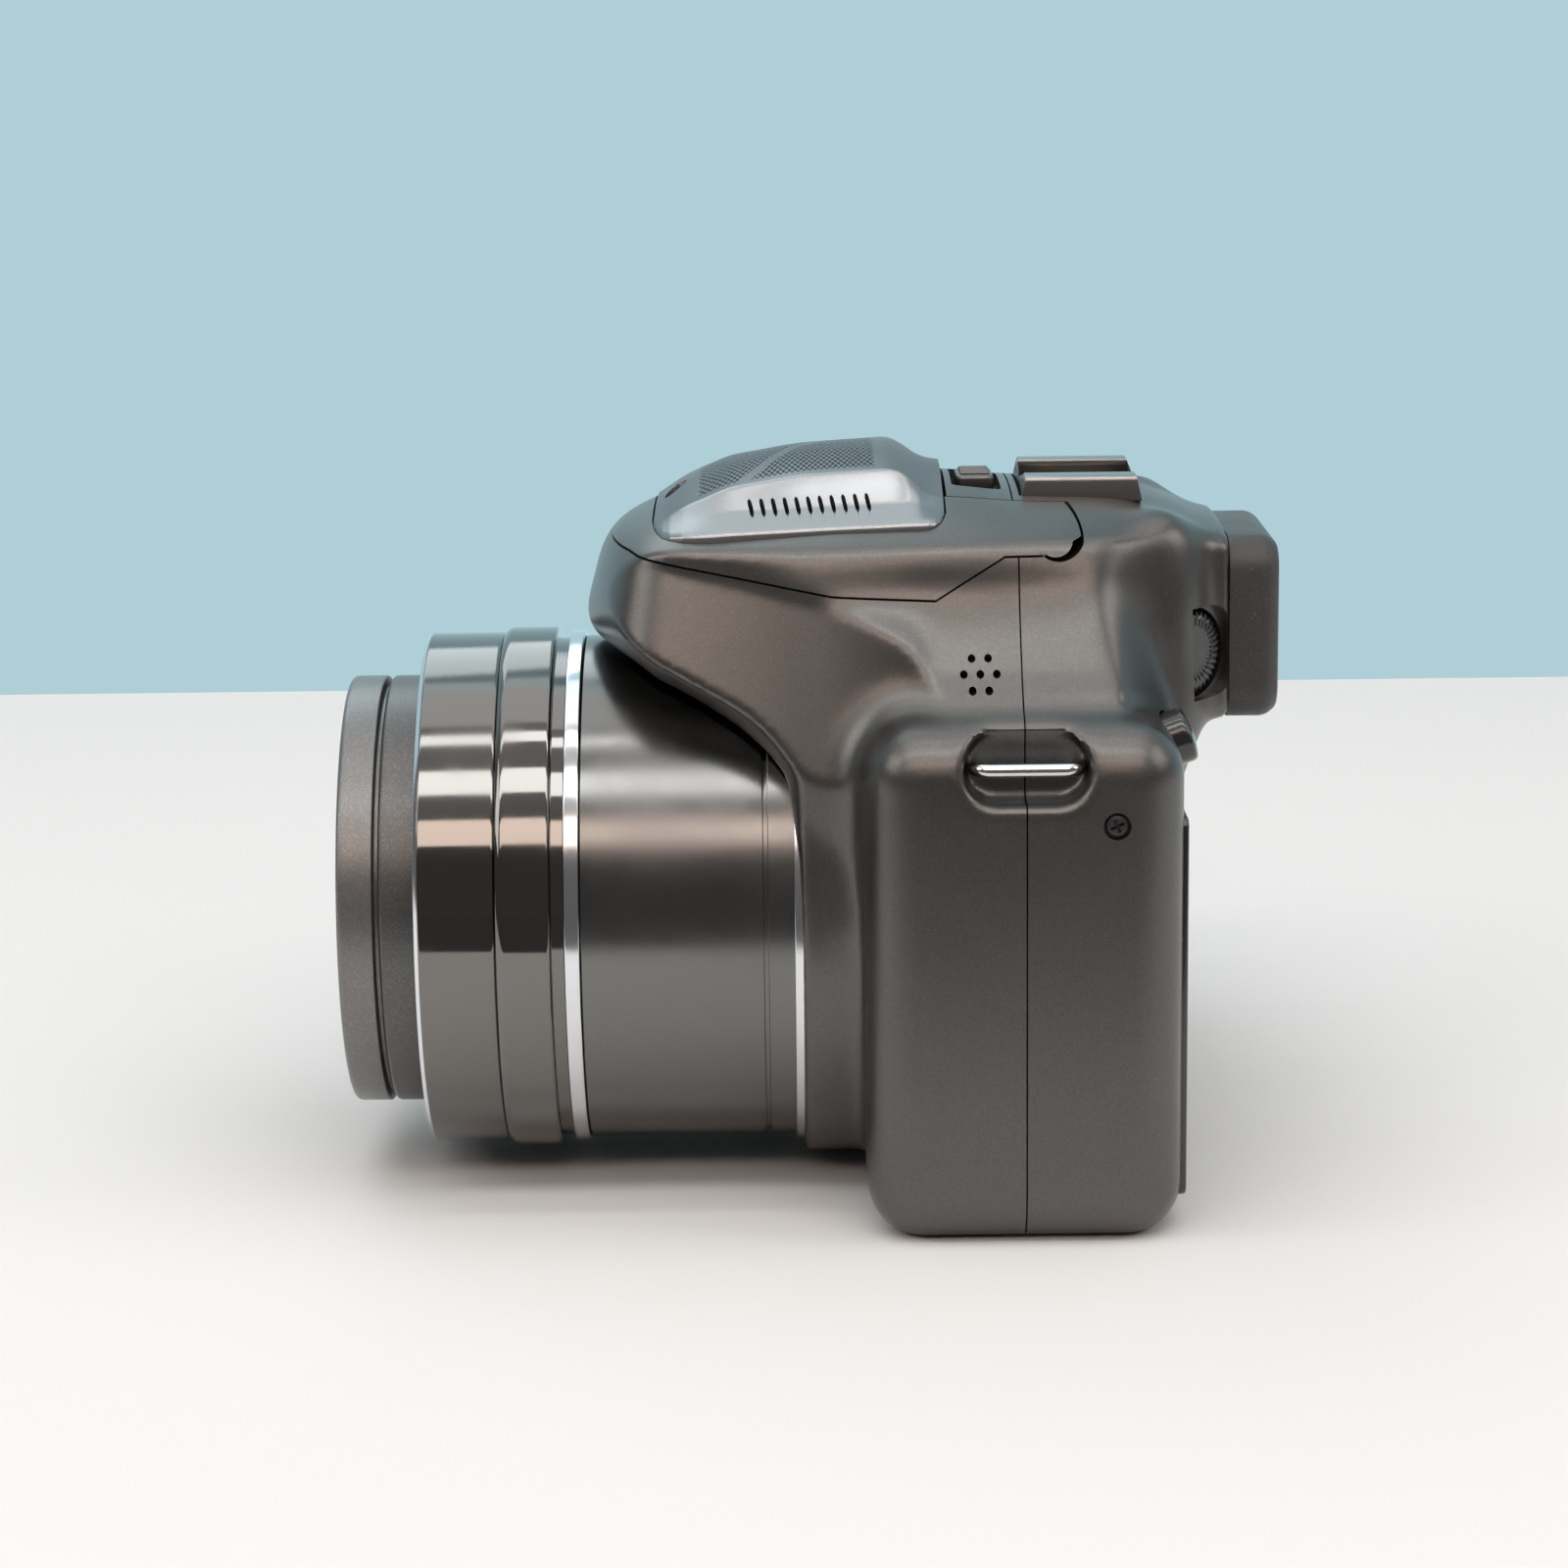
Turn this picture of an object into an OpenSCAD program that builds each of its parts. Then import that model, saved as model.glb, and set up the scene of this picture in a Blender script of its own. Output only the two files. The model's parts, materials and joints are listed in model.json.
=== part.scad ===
// Bridge camera with a long zoom lens, a pop-up flash and a tilted grip.
// Millimetres. +Z is up, the lens looks along -Y and +X is the user's left.
// The origin is the mouth of the tripod socket, below the lens axis.

/* [Body] */
// Lens axis to the left side face
body_left = 47; // [44:0.5:54]
// Lens axis to the grip side face
body_right = 83.2; // [81:0.2:92]
// Mid plane to the front face of the shoulders
body_front = 21; // [20:0.5:24]
// Mid plane to the back face
body_rear = 19.5; // [18.5:0.5:23]
// Height of the shoulders above the rear display's frame
shoulder_over = 13; // [12.5:0.5:17]
// Rounding of the body's outer edges
edge_r = 7.5; // [6:0.5:9]
// Wall of every moulded cover
wall = 2; // [1.6:0.1:2.4]
// Place of the seam between front and rear cover
seam_y = -0.8; // [-1.4:0.1:-0.4]
// Gap left at each seam
seam_gap = 0.2; // [0.1:0.05:0.3]
// Running clearance round moving pieces
clear = 0.35; // [0.25:0.05:0.5]

/* [Crown] */
// Height of the crown's top above the lens barrel
crown_rise = 23.6; // [22:0.2:27]
// Reach of the prow in front of the mid plane
nose_reach = 57; // [55:0.5:60]
// Reach of the viewfinder tower behind the mid plane
eye_reach = 27.6; // [26.5:0.2:30]
// Half width of the viewfinder tower
tower_half = 15.6; // [14:0.2:17]
// Height of the microphone cover's crest above the lens barrel
crest_rise = 25.6; // [25:0.2:29]
// Depth of the soft eyecup
eyecup_d = 6.7; // [5:0.1:9]

/* [Grip] */
// Reach of the grip in front of the mid plane
grip_reach = 47.5; // [44:0.5:52]
// Radius of the grip's front column
grip_r = 11.5; // [11:0.25:13]
// Slope of the grip's top towards the front, in degrees
grip_slope = 13; // [8:1:16]
// Thickness of the rubber skin
rubber_t = 0.9; // [0.6:0.1:1.4]

/* [Lens] */
// Gap between the lens barrel and the base
lens_under = 3; // [2.8:0.1:5]
// Outer radius of the fixed barrel
barrel_r = 34.2; // [33.8:0.1:34.6]
// Front end of the fixed barrel's bare sleeve
barrel_front = 57.8; // [57.4:0.2:62]
// Gap between the barrel and the collar's bore
bore_gap = 1.1; // [1:0.1:1.4]
// Wall of the collar round the bore
collar_wall = 1.1; // [0.9:0.1:1.3]
// Reach of the collar in front of the mid plane
collar_reach = 29; // [27:0.5:31]
// Width of each chrome ring
chrome_w = 2; // [1.4:0.1:2.2]
// How far the chrome rings stand over the barrel
chrome_step = 0.7; // [0.4:0.1:1]
// How far the rear black ring stands over the barrel
rear_ring_step = 1.3; // [0.8:0.1:2]
// How far the front black ring stands over the barrel
front_ring_step = 0.6; // [0.2:0.1:1.2]
// Length of the rear black ring
rear_ring_w = 7.2; // [5:0.2:9]
// Length of the front black ring
front_ring_w = 10.5; // [8:0.5:14]
// How far the first zoom stage lies inside the barrel's surface
stage_1_step = 2.6; // [2.4:0.1:2.8]
// How far the second zoom stage lies inside the first one's surface
stage_2_step = 2.6; // [2.4:0.1:3.2]
// Wall of the zoom stages
stage_wall = 1.1; // [0.9:0.1:1.2]
// How far the second stage stands out of the front ring at rest
stage_2_proud = 5.1; // [3:0.1:8]
// Thickness of the lens cap
cap_t = 4.8; // [4:0.1:6]
// Groove between cap and barrel
cap_groove = 0.7; // [0.4:0.1:0.9]

/* [Controls] */
// Radius of the mode dial
mode_dial_r = 10; // [8:0.25:11]
// Height of the mode dial
mode_dial_h = 7.5; // [5:0.25:9]
// Radius of the shutter button
shutter_r = 4.8; // [4.4:0.1:5.4]
// Radius of the zoom lever
zoom_lever_r = 8.8; // [8:0.1:9.4]
// Radius of the small round buttons
button_r = 2.9; // [2.4:0.1:3.2]
// How far the buttons stand proud
button_proud = 0.9; // [0.7:0.1:1.4]
// Radius of the rear thumb dial
rear_dial_r = 8; // [7:0.25:8.5]
// Radius of the dioptre dial
diopter_r = 5.8; // [5:0.1:6.4]
// Width of the rear display frame
display_w = 70; // [64:0.5:72]
// Height of the rear display frame
display_h = 50; // [46:0.5:52]

/* [Fittings] */
// Wall radius of the tripod thread
tripod_r = 3.175; // [3.175:0.1:4.8]
// Depth of the tripod thread
tripod_depth = 5.5; // [4.5:0.1:6.5]
// Outer width of the accessory shoe
shoe_w = 21; // [20.5:0.1:22]
// Length of the accessory shoe
shoe_l = 16.2; // [15:0.2:17]
// Thickness of the strap lug wire
lug_wire = 1.8; // [1.4:0.1:2.2]
// Length of the strap lug wire
lug_l = 15; // [12:0.5:17]

/* [Hidden] */
$fn = 48;
hull_fn = 32;
big = 200;
tiny = 0.02;

// Lens radii and levels
lens_z = barrel_r + lens_under;
barrel_top = lens_z + barrel_r;
chrome_r = barrel_r + chrome_step;
rear_ring_r = barrel_r + rear_ring_step;
front_ring_r = barrel_r + front_ring_step;
stage_1_r = barrel_r - stage_1_step;
stage_2_r = stage_1_r - stage_2_step;
element_r = stage_2_r - 4.4;

// The rear display sets how high the body is
display_low = 4.5;
shoulder_h = display_low + display_h + shoulder_over;

// Lens stations, measured forward from the mid plane
bore_r = barrel_r + bore_gap;
collar_r = bore_r + collar_wall;
barrel_in = barrel_r - 1.3;
carrier_r = barrel_r - 0.6;
barrel_back = 16;
bore_back = barrel_back - 2.4;
rear_ring_s = barrel_front + chrome_w + 1.7;
front_ring_s = rear_ring_s + rear_ring_w;
ring_front = front_ring_s + front_ring_w;
stage_2_front = ring_front + stage_2_proud;
stage_1_front = ring_front - 1.8;
cap_back = stage_2_front + cap_groove;
cap_front = cap_back + cap_t;
base_ring_s = collar_reach - 0.8;
cam_out = barrel_in - 0.3;
cam_in = stage_1_r + 0.3;

// Crown levels
crown_top = barrel_top + crown_rise;
crest_z = barrel_top + crest_rise;
bay_floor = lens_z + bore_r + 4;
bay_front = nose_reach - 8;
bay_back = 12;
deck_half = 13.2;
lid_back = 9.6;
mic_back = -lid_back - 1;
hinge_y = 4;
lid_gap = 0.3;
lid_swing_gap = 0.9;
hinge_z = crown_top - 6.6;
hinge_pin_r = 0.8;
hinge_ear_r = 1.5;
hinge_ear_x = deck_half + 0.4;
hinge_ear_w = 2;
arm_end_r = 2.1;
release_slide = 2.2;
shoe_z = crown_top - 4.2;
shoe_y = 0.3;
tower_low = barrel_top - 9.5;
eye_z = barrel_top + 3.6;

// Grip and top plate
grip_x = body_right - grip_r - 1.7;
grip_y = grip_reach - grip_r;
slope_y = -14;
plate_z = shoulder_h;
top_split_x = 38.4;
top_split_z = shoulder_h - 10.5;
shutter_x = -(grip_x - 0.5);
shutter_y = -(grip_y - 3.5);
shutter_z = plate_z + (shutter_y - slope_y) * tan(grip_slope);
mode_dial_x = -53;
power_x = mode_dial_x - mode_dial_r - 9.6;
rear_dial_y = body_rear + 2.6 - rear_dial_r;
rear_dial_x = -58;
rear_dial_z = top_split_z - 5;
rear_dial_w = 6;
diopter_tilt = 42;
diopter_y = 21.6;
diopter_z = barrel_top + 0.4;
diopter_x = tower_half + 1.9;
vf_button_x = 29;
vf_button_tilt = 20;
cursor_x = -57;
cursor_z = 26;
cursor_d = 9.4;
display_x = 5.5;
display_z = display_low + display_h / 2;
display_in = 4;
lug_z = shoulder_h - 5.5;
lug_y = -0.7;
lug_pocket_r = 4.3;
lug_pocket_d = 5.4;
lug_inset = 1.6;
speaker_y = -6.1;
speaker_z = shoulder_h + 4.9;
speaker_x = 26.5;
speaker_r = 4.6;
speaker_h = 3;
screw_r = 2;
screw_sink = 1.3;
screw_shank_r = 0.9;
screw_shank_l = 3;

socket_flange_r = 8.6;
side_screws = [[body_left, 10.5, shoulder_h - 12.5], [-body_right, 6, shoulder_h - 13.5]];
base_screws = [[38, -10.6, 0], [38, 10.6, 0], [-44, -10.6, 0], [-44, 10.6, 0]];

// Round buttons on the back (x, z, radius) and on the top plate (x, y, radius)
vf_button_r = 3.6;
small_buttons = [
    [-42, 46, button_r], [-42, 11, button_r], [-72, 12.5, button_r], [cursor_x, cursor_z, 4.6],
    [cursor_x, cursor_z + cursor_d, button_r], [cursor_x, cursor_z - cursor_d, button_r],
    [cursor_x + cursor_d, cursor_z, button_r], [cursor_x - cursor_d, cursor_z, button_r]
];
plate_buttons = [[-(grip_x - 7.5), -8.5, button_r], [-(grip_x + 1.5), -10, button_r + 0.3]];

// Battery bay and terminal door
battery_w = 16;
battery_x = -(grip_x - 0.5) - battery_w / 2;
battery_y = -grip_y + 2;
battery_l = 33;
battery_h = 44;
door_x = battery_x - 1;
door_w = battery_w + 2;
door_y = battery_y;
door_l = battery_l - 1.4;
door_t = 1.7;
door_z = 0.25;
door_knuckle = 1.35;
door_axis_x = door_x + door_knuckle;
door_axis_z = door_z + door_knuckle;
lock_w = 5;
lock_slide = 2;
card_t = 2.1;
card_seat_x = -51.88;
terminal_y = 1.5;
terminal_w = 10;
terminal_z = 19;
terminal_h = 28;
terminal_t = 1.8;
terminal_knuckle = 1.1;

body_grey = "#383533";
lid_grey = "#3d3b3a";
gloss_black = "#141416";
matte_black = "#1e1e20";
rubber_black = "#232222";
silver = "#8d8f92";
chrome = "#c9ccd0";
board_green = "#2f5b3c";

// Corner cutting rounds a closed outline; a doubled point stays sharp
function rounded(p, times) = times == 0 ? p : rounded([
    for (i = [0:len(p) - 1])
        let (a = p[i], b = p[(i + 1) % len(p)])
        each [0.75 * a + 0.25 * b, 0.25 * a + 0.75 * b]
], times - 1);

// Angle above the horizontal at which the prow's edge meets the bore, d forward of the mid plane
function edge_angle(d) = lookup(d, [
    [collar_reach, -20], [collar_reach + 0.5, 12], [collar_reach + 3.4, 30],
    [collar_reach + 9.6, 45], [46, 58.5], [50, 63.5]
]);

// Left half of the crown's section at y, from the lens up to the top, drawn in by t
function crown_half(y, t) =
    let (
        q = edge_angle(-y),
        r = bore_r - 0.5,
        behind = y > 13,
        low = behind
            ? [lookup(y, [[13, 36], [16, 29], [20, tower_half + 3.4], [24, tower_half - 1],
                   [28, tower_half - 2]]),
               lookup(y, [[13, lens_z + 8], [16, tower_low - 9], [20, tower_low - 2.5], [24, tower_low]])]
            : [r * cos(q), lens_z + r * sin(q)],
        flank = [
            lookup(y, [[-50, 21.5], [-44, 25], [-38, 29], [-32, 34], [-29, 35.8], [-20, 36.8], [-13, 37.4],
                [12, 37.4], [16, 30], [20, tower_half + 4.6], [24, tower_half + 1], [28, tower_half]]),
            lookup(y, [[-50, barrel_top + 5.6], [-38, barrel_top + 1.6], [-32, barrel_top - 3.4],
                [-25, barrel_top - 9.4], [-13, shoulder_h - 9], [12, shoulder_h - 9], [16, tower_low - 4],
                [20, tower_low], [24, tower_low + 1.6]])],
        crease = [
            lookup(y, [[-50, 25.4], [-44, 26.6], [-36, 28.2], [-25, 30.2], [-18, 32.6], [-15, 34.2],
                [-13, 36], [12, 36], [16, 29], [20, tower_half + 4.4], [24, tower_half + 0.9],
                [28, tower_half]]),
            lookup(y, [[-50, barrel_top + 14.3], [-36, barrel_top + 11.4], [-25, barrel_top + 9.6],
                [-18, barrel_top + 6.1], [-15, barrel_top + 3.2], [-13, shoulder_h + 2.3],
                [12, shoulder_h + 3], [16, tower_low + 6],
                [20, tower_low + 3.6], [24, tower_low + 3.6]])],
        side = [
            lookup(y, [[-50, 23], [-44, 24.4], [-25, 25.6], [-13, 26.8], [6, 26.6], [12, 25], [16, 22.4],
                [20, 18.4], [24, tower_half], [28, tower_half - 0.6]]),
            lookup(y, [[-50, barrel_top + 17.2], [-25, barrel_top + 16.8], [12, barrel_top + 16.6],
                [20, barrel_top + 15.2], [24, barrel_top + 14], [28, barrel_top + 13.4]])],
        top = lookup(y, [[-50, crown_top - 5.6], [-44, crown_top - 3.6], [-38, crown_top - 2.6],
            [-25, crown_top - 1.4], [-14, crown_top - 0.4], [-9, crown_top], [0, crown_top - 2.4],
            [16, crown_top - 3], [26, crown_top - 7], [28, crown_top - 7.4]]),
        brow = lookup(y, [[-50, 15], [12, 15], [24, 13]])
    ) [
        low + [-t, behind ? t : 0], flank - [t, 0],
        crease - [t, 0.3 * t], crease - [t, 0.3 * t],
        side - [0.9 * t, 0.5 * t],
        [brow - 0.4 * t, top - 0.9 - 0.9 * t]
    ];

function crown_outline(y, t) =
    let (half = crown_half(y, t), n = len(half), top = half[n - 1][1] + 0.7)
    concat(half, [[0, top]], [for (i = [n - 1:-1:0]) [-half[i][0], half[i][1]]]);

// The prow's blunt end: the section at the prow's root shrinks like an ellipse towards the tip
prow_root = 50;
prow_z = barrel_top + 8.1;
function prow_share(s) = pow(1 - pow(1 - s, 2.5), 0.4);
function prow_outline(s) = [
    for (p = crown_outline(-prow_root, 0)) [p[0] * prow_share(s), prow_z + (p[1] - prow_z) * prow_share(s)]
];

function place_ring(outline, y) = [for (p = outline) [p[0], y, p[1]]];

crown_stations = [
    -50, -44, -38, -33.5, -collar_reach - 0.5, -collar_reach, -24.5, -20, -16.5, -13,
    -5, 3, 12, 14.5, 17, 20, 23.5, eye_reach
];

function outer_rings() = concat(
    [for (s = [0.03, 0.16, 0.4, 0.7])
        place_ring(rounded(prow_outline(s), 2), -nose_reach + (nose_reach - prow_root) * s)],
    [for (y = crown_stations) place_ring(rounded(crown_outline(y, 0), 2), y)]
);

function inner_rings(t) = [
    for (y = crown_stations)
        place_ring(rounded(crown_outline(y, t), 1),
            max(-bay_front, min(eye_reach - t, y)))
];

// Skins a row of rings, one convex stretch after another
module skin(rings) {
    for (i = [0:len(rings) - 2])
        hull()
            polyhedron(concat(rings[i], rings[i + 1]), [[for (k = [0:2 * len(rings[i]) - 1]) k]]);
}

// A box whose edges are rounded, as the outline round the eighths of a ball in its corners
function ball_eighth(c, way, r, steps) = [
    for (i = [0:steps], k = [0:(i == steps ? 0 : steps)])
        let (u = 90 * i / steps, v = 90 * k / steps)
        c + r * [way[0] * cos(u) * cos(v), way[1] * cos(u) * sin(v), way[2] * sin(u)]
];

module rounded_block(low, high, r, steps) {
    points = [
        for (x = [-1, 1], y = [-1, 1], z = [-1, 1])
            each ball_eighth([
                x < 0 ? low[0] + r : high[0] - r, y < 0 ? low[1] + r : high[1] - r,
                z < 0 ? low[2] + r : high[2] - r
            ], [x, y, z], r, steps)
    ];
    hull() polyhedron(points, [[for (k = [0:len(points) - 1]) k]]);
}

// Everything that turns about the lens axis is drawn along +Z and laid forward
module lens_axis() {
    translate([0, 0, lens_z]) rotate([90, 0, 0]) children();
}

module tube(outer, inner, s0, s1) {
    lens_axis()
        translate([0, 0, s0])
            difference() {
                cylinder(r = outer, h = s1 - s0, $fn = 96);
                translate([0, 0, -1]) cylinder(r = inner, h = s1 - s0 + 2, $fn = 96);
            }
}

module along_x(x, y, z) {
    translate([x, y, z]) rotate([0, 90, 0]) children();
}

module on_back(x, z) {
    translate([x, body_rear, z]) rotate([-90, 0, 0]) children();
}

module on_plate(x, y) {
    translate([x, y, plate_z]) children();
}

module on_slope() {
    translate([shutter_x, shutter_y, shutter_z]) rotate([grip_slope, 0, 0]) children();
}

module on_rear_slope() {
    translate([vf_button_x, body_rear - edge_r, shoulder_h - edge_r])
        rotate([vf_button_tilt - 90, 0, 0])
            translate([0, 0, edge_r])
                children();
}

// Body shell forms, drawn in by t
module block_form(t) {
    rounded_block([-body_right + t, -body_front + t, -0.4 + t + (t > 0 ? 0.4 : 0)],
        [body_left - t, body_rear - t, shoulder_h - t], edge_r - t / 2, t > 0 ? 4 : 8);
}

// The grip's plan is the outline round three circles (x, y, radius)
grip_circles = [
    [-grip_x, -grip_y, grip_r], [-(body_right - 10), -8, 9.7], [-(grip_x - 8.5), -body_front + 5, 7]
];

module grip_plan(t) {
    hull()
        for (c = grip_circles)
            translate([c[0], c[1]]) circle(c[2] - t, $fn = hull_fn);
}

// The same plan as a ring of points, drawn in by t, at a height or on the sloped top
function grip_ring(t) = [
    for (c = grip_circles, k = [0:hull_fn - 1])
        [c[0] + (c[2] - t) * cos(360 * k / hull_fn), c[1] + (c[2] - t) * sin(360 * k / hull_fn)]
];
function level_ring(t, z) = [for (p = grip_ring(t)) [p[0], p[1], z]];
function sloped_ring(t, drop) = [
    for (p = grip_ring(t)) [p[0], p[1], plate_z + (p[1] - slope_y) * tan(grip_slope) - drop]
];

module grip_form(t) {
    points = concat(level_ring(t + 2.5, t), level_ring(t, t + 2.5),
        sloped_ring(t, t + 2.2), sloped_ring(t + 2.2, t));
    intersection() {
        hull() polyhedron(points, [[for (k = [0:len(points) - 1]) k]]);
        translate([-big, -big, -1]) cube([2 * big, 2 * big, shoulder_h - t - 0.3 + 1]);
    }
}

module collar_form() {
    lens_axis() cylinder(r = collar_r, h = collar_reach, $fn = 96);
}

module outer_form() {
    intersection() {
        union() {
            block_form(0);
            grip_form(0);
            skin(outer_rings());
            collar_form();
        }
        translate([-big, -big, 0]) cube(2 * big);
    }
}

module lug_pocket(t) {
    for (side = [body_left, -body_right])
        hull()
            for (y = [-1, 1])
                along_x(side + (side > 0 ? -lug_pocket_d - t : -2),
                    lug_y + y * (lug_l / 2 - lug_pocket_r + 0.4), lug_z)
                    cylinder(r = lug_pocket_r + t, h = lug_pocket_d + 2 + t, $fn = hull_fn);
}

// Side outline of the flash lid: everything above its seam, grown by g. Where the lid is cut out of the
// covers (g above zero) the notch behind its arms leans back, so that the arms can swing
module lid_side(g) {
    offset(delta = g)
        polygon([[-big, barrel_top + 15.2], [-51, barrel_top + 14.8], [-24.7, barrel_top + 10.2],
            [-11.5, barrel_top + 9.6], [-2.3, hinge_z - arm_end_r], [hinge_y, hinge_z - arm_end_r],
            [hinge_y, big], [-big, big]]);
    translate([hinge_y, hinge_z]) {
        circle(arm_end_r + (g > 0 ? clear : 0));
        if (g > 0)
            polygon([[-1, 0], [arm_end_r + clear, 0], [arm_end_r + clear + 6, 10], [-1, 10]]);
        else
            polygon([[-1, 0], [arm_end_r - 0.5, 1.2], [0.6, 3.1], [-1, 6]]);
    }
}

module lid_zone(g) {
    difference() {
        rotate([90, 0, 90]) translate([0, 0, -big]) linear_extrude(2 * big) lid_side(g);
        translate([-deck_half + g, -lid_back + g, -big]) cube([2 * deck_half - 2 * g, big, 2 * big]);
    }
}

module top_zone(g) {
    translate([-big, -big, top_split_z - g]) cube([big - top_split_x + g, 2 * big, big]);
}

// The dioptre dial stands square to the flank between crown and tower
module on_flank() {
    translate([diopter_x, diopter_y, diopter_z]) rotate([0, 0, diopter_tilt]) rotate([0, 90, 0]) children();
}

module diopter_pocket(t) {
    on_flank() translate([0, 0, -2.4 - t]) cylinder(r = diopter_r + clear + t, h = 8 + t);
}

// The speaker sits in a round seat whose end is a boss of the front cover
module speaker_place() {
    along_x(speaker_x, speaker_y, speaker_z - 1) children();
}

// Hollow of the covers
module inner_form() {
    difference() {
        union() {
            block_form(wall);
            grip_form(wall);
            difference() {
                skin(inner_rings(wall));
                lens_axis() translate([0, 0, body_front - wall]) cylinder(r = bore_r + 1.6, h = big);
                lid_zone(wall);
                translate([-big, -big, bay_floor - wall]) cube([2 * big, big - bay_back + wall, big]);
                translate([-shoe_w / 2 - wall, shoe_y - wall, shoe_z - wall])
                    cube([shoe_w + 2 * wall, big, big]);
                translate([-9 - wall, -9.4, crown_top - 5.6]) cube([18 + 2 * wall, 9.4, big]);
            }
        }
        lug_pocket(1.4);
        diopter_pocket(1.4);
        speaker_place() translate([0, 0, speaker_h]) cylinder(r = speaker_r + 1, h = big, $fn = 24);
    }
    speaker_place() translate([0, 0, -0.5]) cylinder(r = speaker_r + 0.1, h = speaker_h + 0.5, $fn = 24);
}

module flash_bay() {
    intersection() {
        skin(inner_rings(wall));
        translate([-big, -big, bay_floor]) cube([2 * big, big - bay_back, big]);
    }
}

// Holes for knobs and buttons, each at its own clearance
module back_holes() {
    for (c = small_buttons)
        on_back(c[0], c[1]) translate([0, 0, -5]) cylinder(r = c[2] + clear, h = 10, $fn = 24);
    translate([rear_dial_x, rear_dial_y, rear_dial_z])
        cylinder(r = rear_dial_r + clear, h = rear_dial_w + 2 * clear, center = true, $fn = 40);
    on_rear_slope() translate([0, 0, -6]) cylinder(r = vf_button_r + clear, h = 12, $fn = 24);
    translate([display_x - display_w / 2 - clear, body_rear - 0.7, display_z - display_h / 2 - clear])
        cube([display_w + 2 * clear, 5, display_h + 2 * clear]);
}

module plate_holes() {
    on_plate(mode_dial_x, 2) translate([0, 0, -6]) cylinder(r = 3 + clear, h = 12, $fn = 24);
    on_plate(power_x, 5) translate([0, 0, -6]) cylinder(r = 2.2 + clear, h = 12, $fn = 24);
    for (c = plate_buttons)
        on_plate(c[0], c[1]) translate([0, 0, -6]) cylinder(r = c[2] + clear, h = 12, $fn = 24);
    on_slope() translate([0, 0, -8]) cylinder(r = 4.2 + clear, h = 16, $fn = 24);
}

module screw_pocket() {
    translate([0, 0, -screw_sink]) cylinder(r = screw_r + 0.25, h = 5, $fn = 20);
    translate([0, 0, -5]) cylinder(r = screw_shank_r + 0.1, h = 5, $fn = 12);
}

module screw_pockets() {
    for (c = side_screws)
        translate(c) rotate([0, c[0] > 0 ? 90 : -90, 0]) screw_pocket();
    for (c = base_screws)
        translate(c) rotate([180, 0, 0]) screw_pocket();
}

module speaker_holes() {
    for (k = [0:6])
        along_x(20, speaker_y + (k == 0 ? 0 : 2.1 * cos(60 * k)),
            speaker_z + (k == 0 ? 0 : 2.1 * sin(60 * k)))
            cylinder(r = 0.48, h = 30, $fn = 12);
}

module base_cuts() {
    translate([0, 0, -1]) cylinder(r = socket_flange_r + 0.1, h = 4);
    translate([door_x - 0.35, door_y - clear, -1])
        cube([door_w + 0.35 + clear, door_l + 2 * clear, wall + 2]);
    translate([door_axis_x, door_y - 1.6, door_axis_z]) rotate([-90, 0, 0])
        cylinder(r = 0.8, h = door_l + 3.2, $fn = 16);
}

module terminal_cut() {
    translate([-body_right - 1, terminal_y - clear, terminal_z - clear])
        cube([wall + 2, terminal_w + 2 * clear, terminal_h + 2 * clear]);
    translate([-body_right + terminal_knuckle, terminal_y + terminal_knuckle, terminal_z - 1.6])
        cylinder(r = 0.8, h = terminal_h + 3.2, $fn = 16);
}

module covers() {
    difference() {
        outer_form();
        inner_form();
        flash_bay();
        lid_zone(lid_gap / 2);
        lens_axis() translate([0, 0, bore_back]) cylinder(r = bore_r, h = big, $fn = 96);
        lug_pocket(0);
        diopter_pocket(0);
        screw_pockets();
    }
}

module front_half(g) {
    translate([-big, seam_y - g - big, -1]) cube([2 * big, big, big]);
}

module rear_half(g) {
    translate([-big, seam_y + g, -1]) cube([2 * big, big, big]);
}

module front_cover() {
    color(body_grey)
        difference() {
            intersection() {
                covers();
                front_half(seam_gap / 2);
            }
            top_zone(0);
            base_cuts();
            speaker_holes();
            translate([-8, -8.6, crown_top - 4.4]) cube([16, 6.6, 10]);
            translate([-2.4 - clear, -6.4 - clear, crown_top - 7])
                cube([4.8 + release_slide + 2 * clear, 2.2 + 2 * clear, 10]);
        }
}

module rear_cover() {
    color(body_grey)
        difference() {
            intersection() {
                covers();
                rear_half(seam_gap / 2);
            }
            top_zone(0);
            base_cuts();
            back_holes();
            terminal_cut();
            translate([-shoe_w / 2 - 0.1, shoe_y - 0.1, shoe_z])
                cube([shoe_w + 0.2, shoe_l + 0.2 + 20, 10]);
            translate([-10.5, eye_reach - 6, eye_z - 8]) cube([21, 20, 16]);
            along_x(-deck_half - 1, hinge_y, hinge_z)
                cylinder(r = hinge_pin_r + 0.05, h = 2 * deck_half + 2, $fn = 20);
        }
}

module top_cover() {
    color(body_grey)
        difference() {
            intersection() {
                covers();
                top_zone(-seam_gap);
            }
            plate_holes();
        }
}

// Skin round the grip's column, and the thumb pad on the back
module grip_rubber() {
    color(rubber_black) {
        translate([0, 0, 6])
            linear_extrude(top_split_z - 13)
                difference() {
                    grip_plan(-rubber_t);
                    grip_plan(-tiny);
                    translate([-big, -body_front - 0.6]) square([2 * big, big]);
                }
        on_back(-body_right + edge_r + 4.1, top_split_z - 12)
            translate([0, 0, tiny])
                linear_extrude(rubber_t)
                    offset(r = 2.5) square([3, 14], center = true);
    }
}

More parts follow.
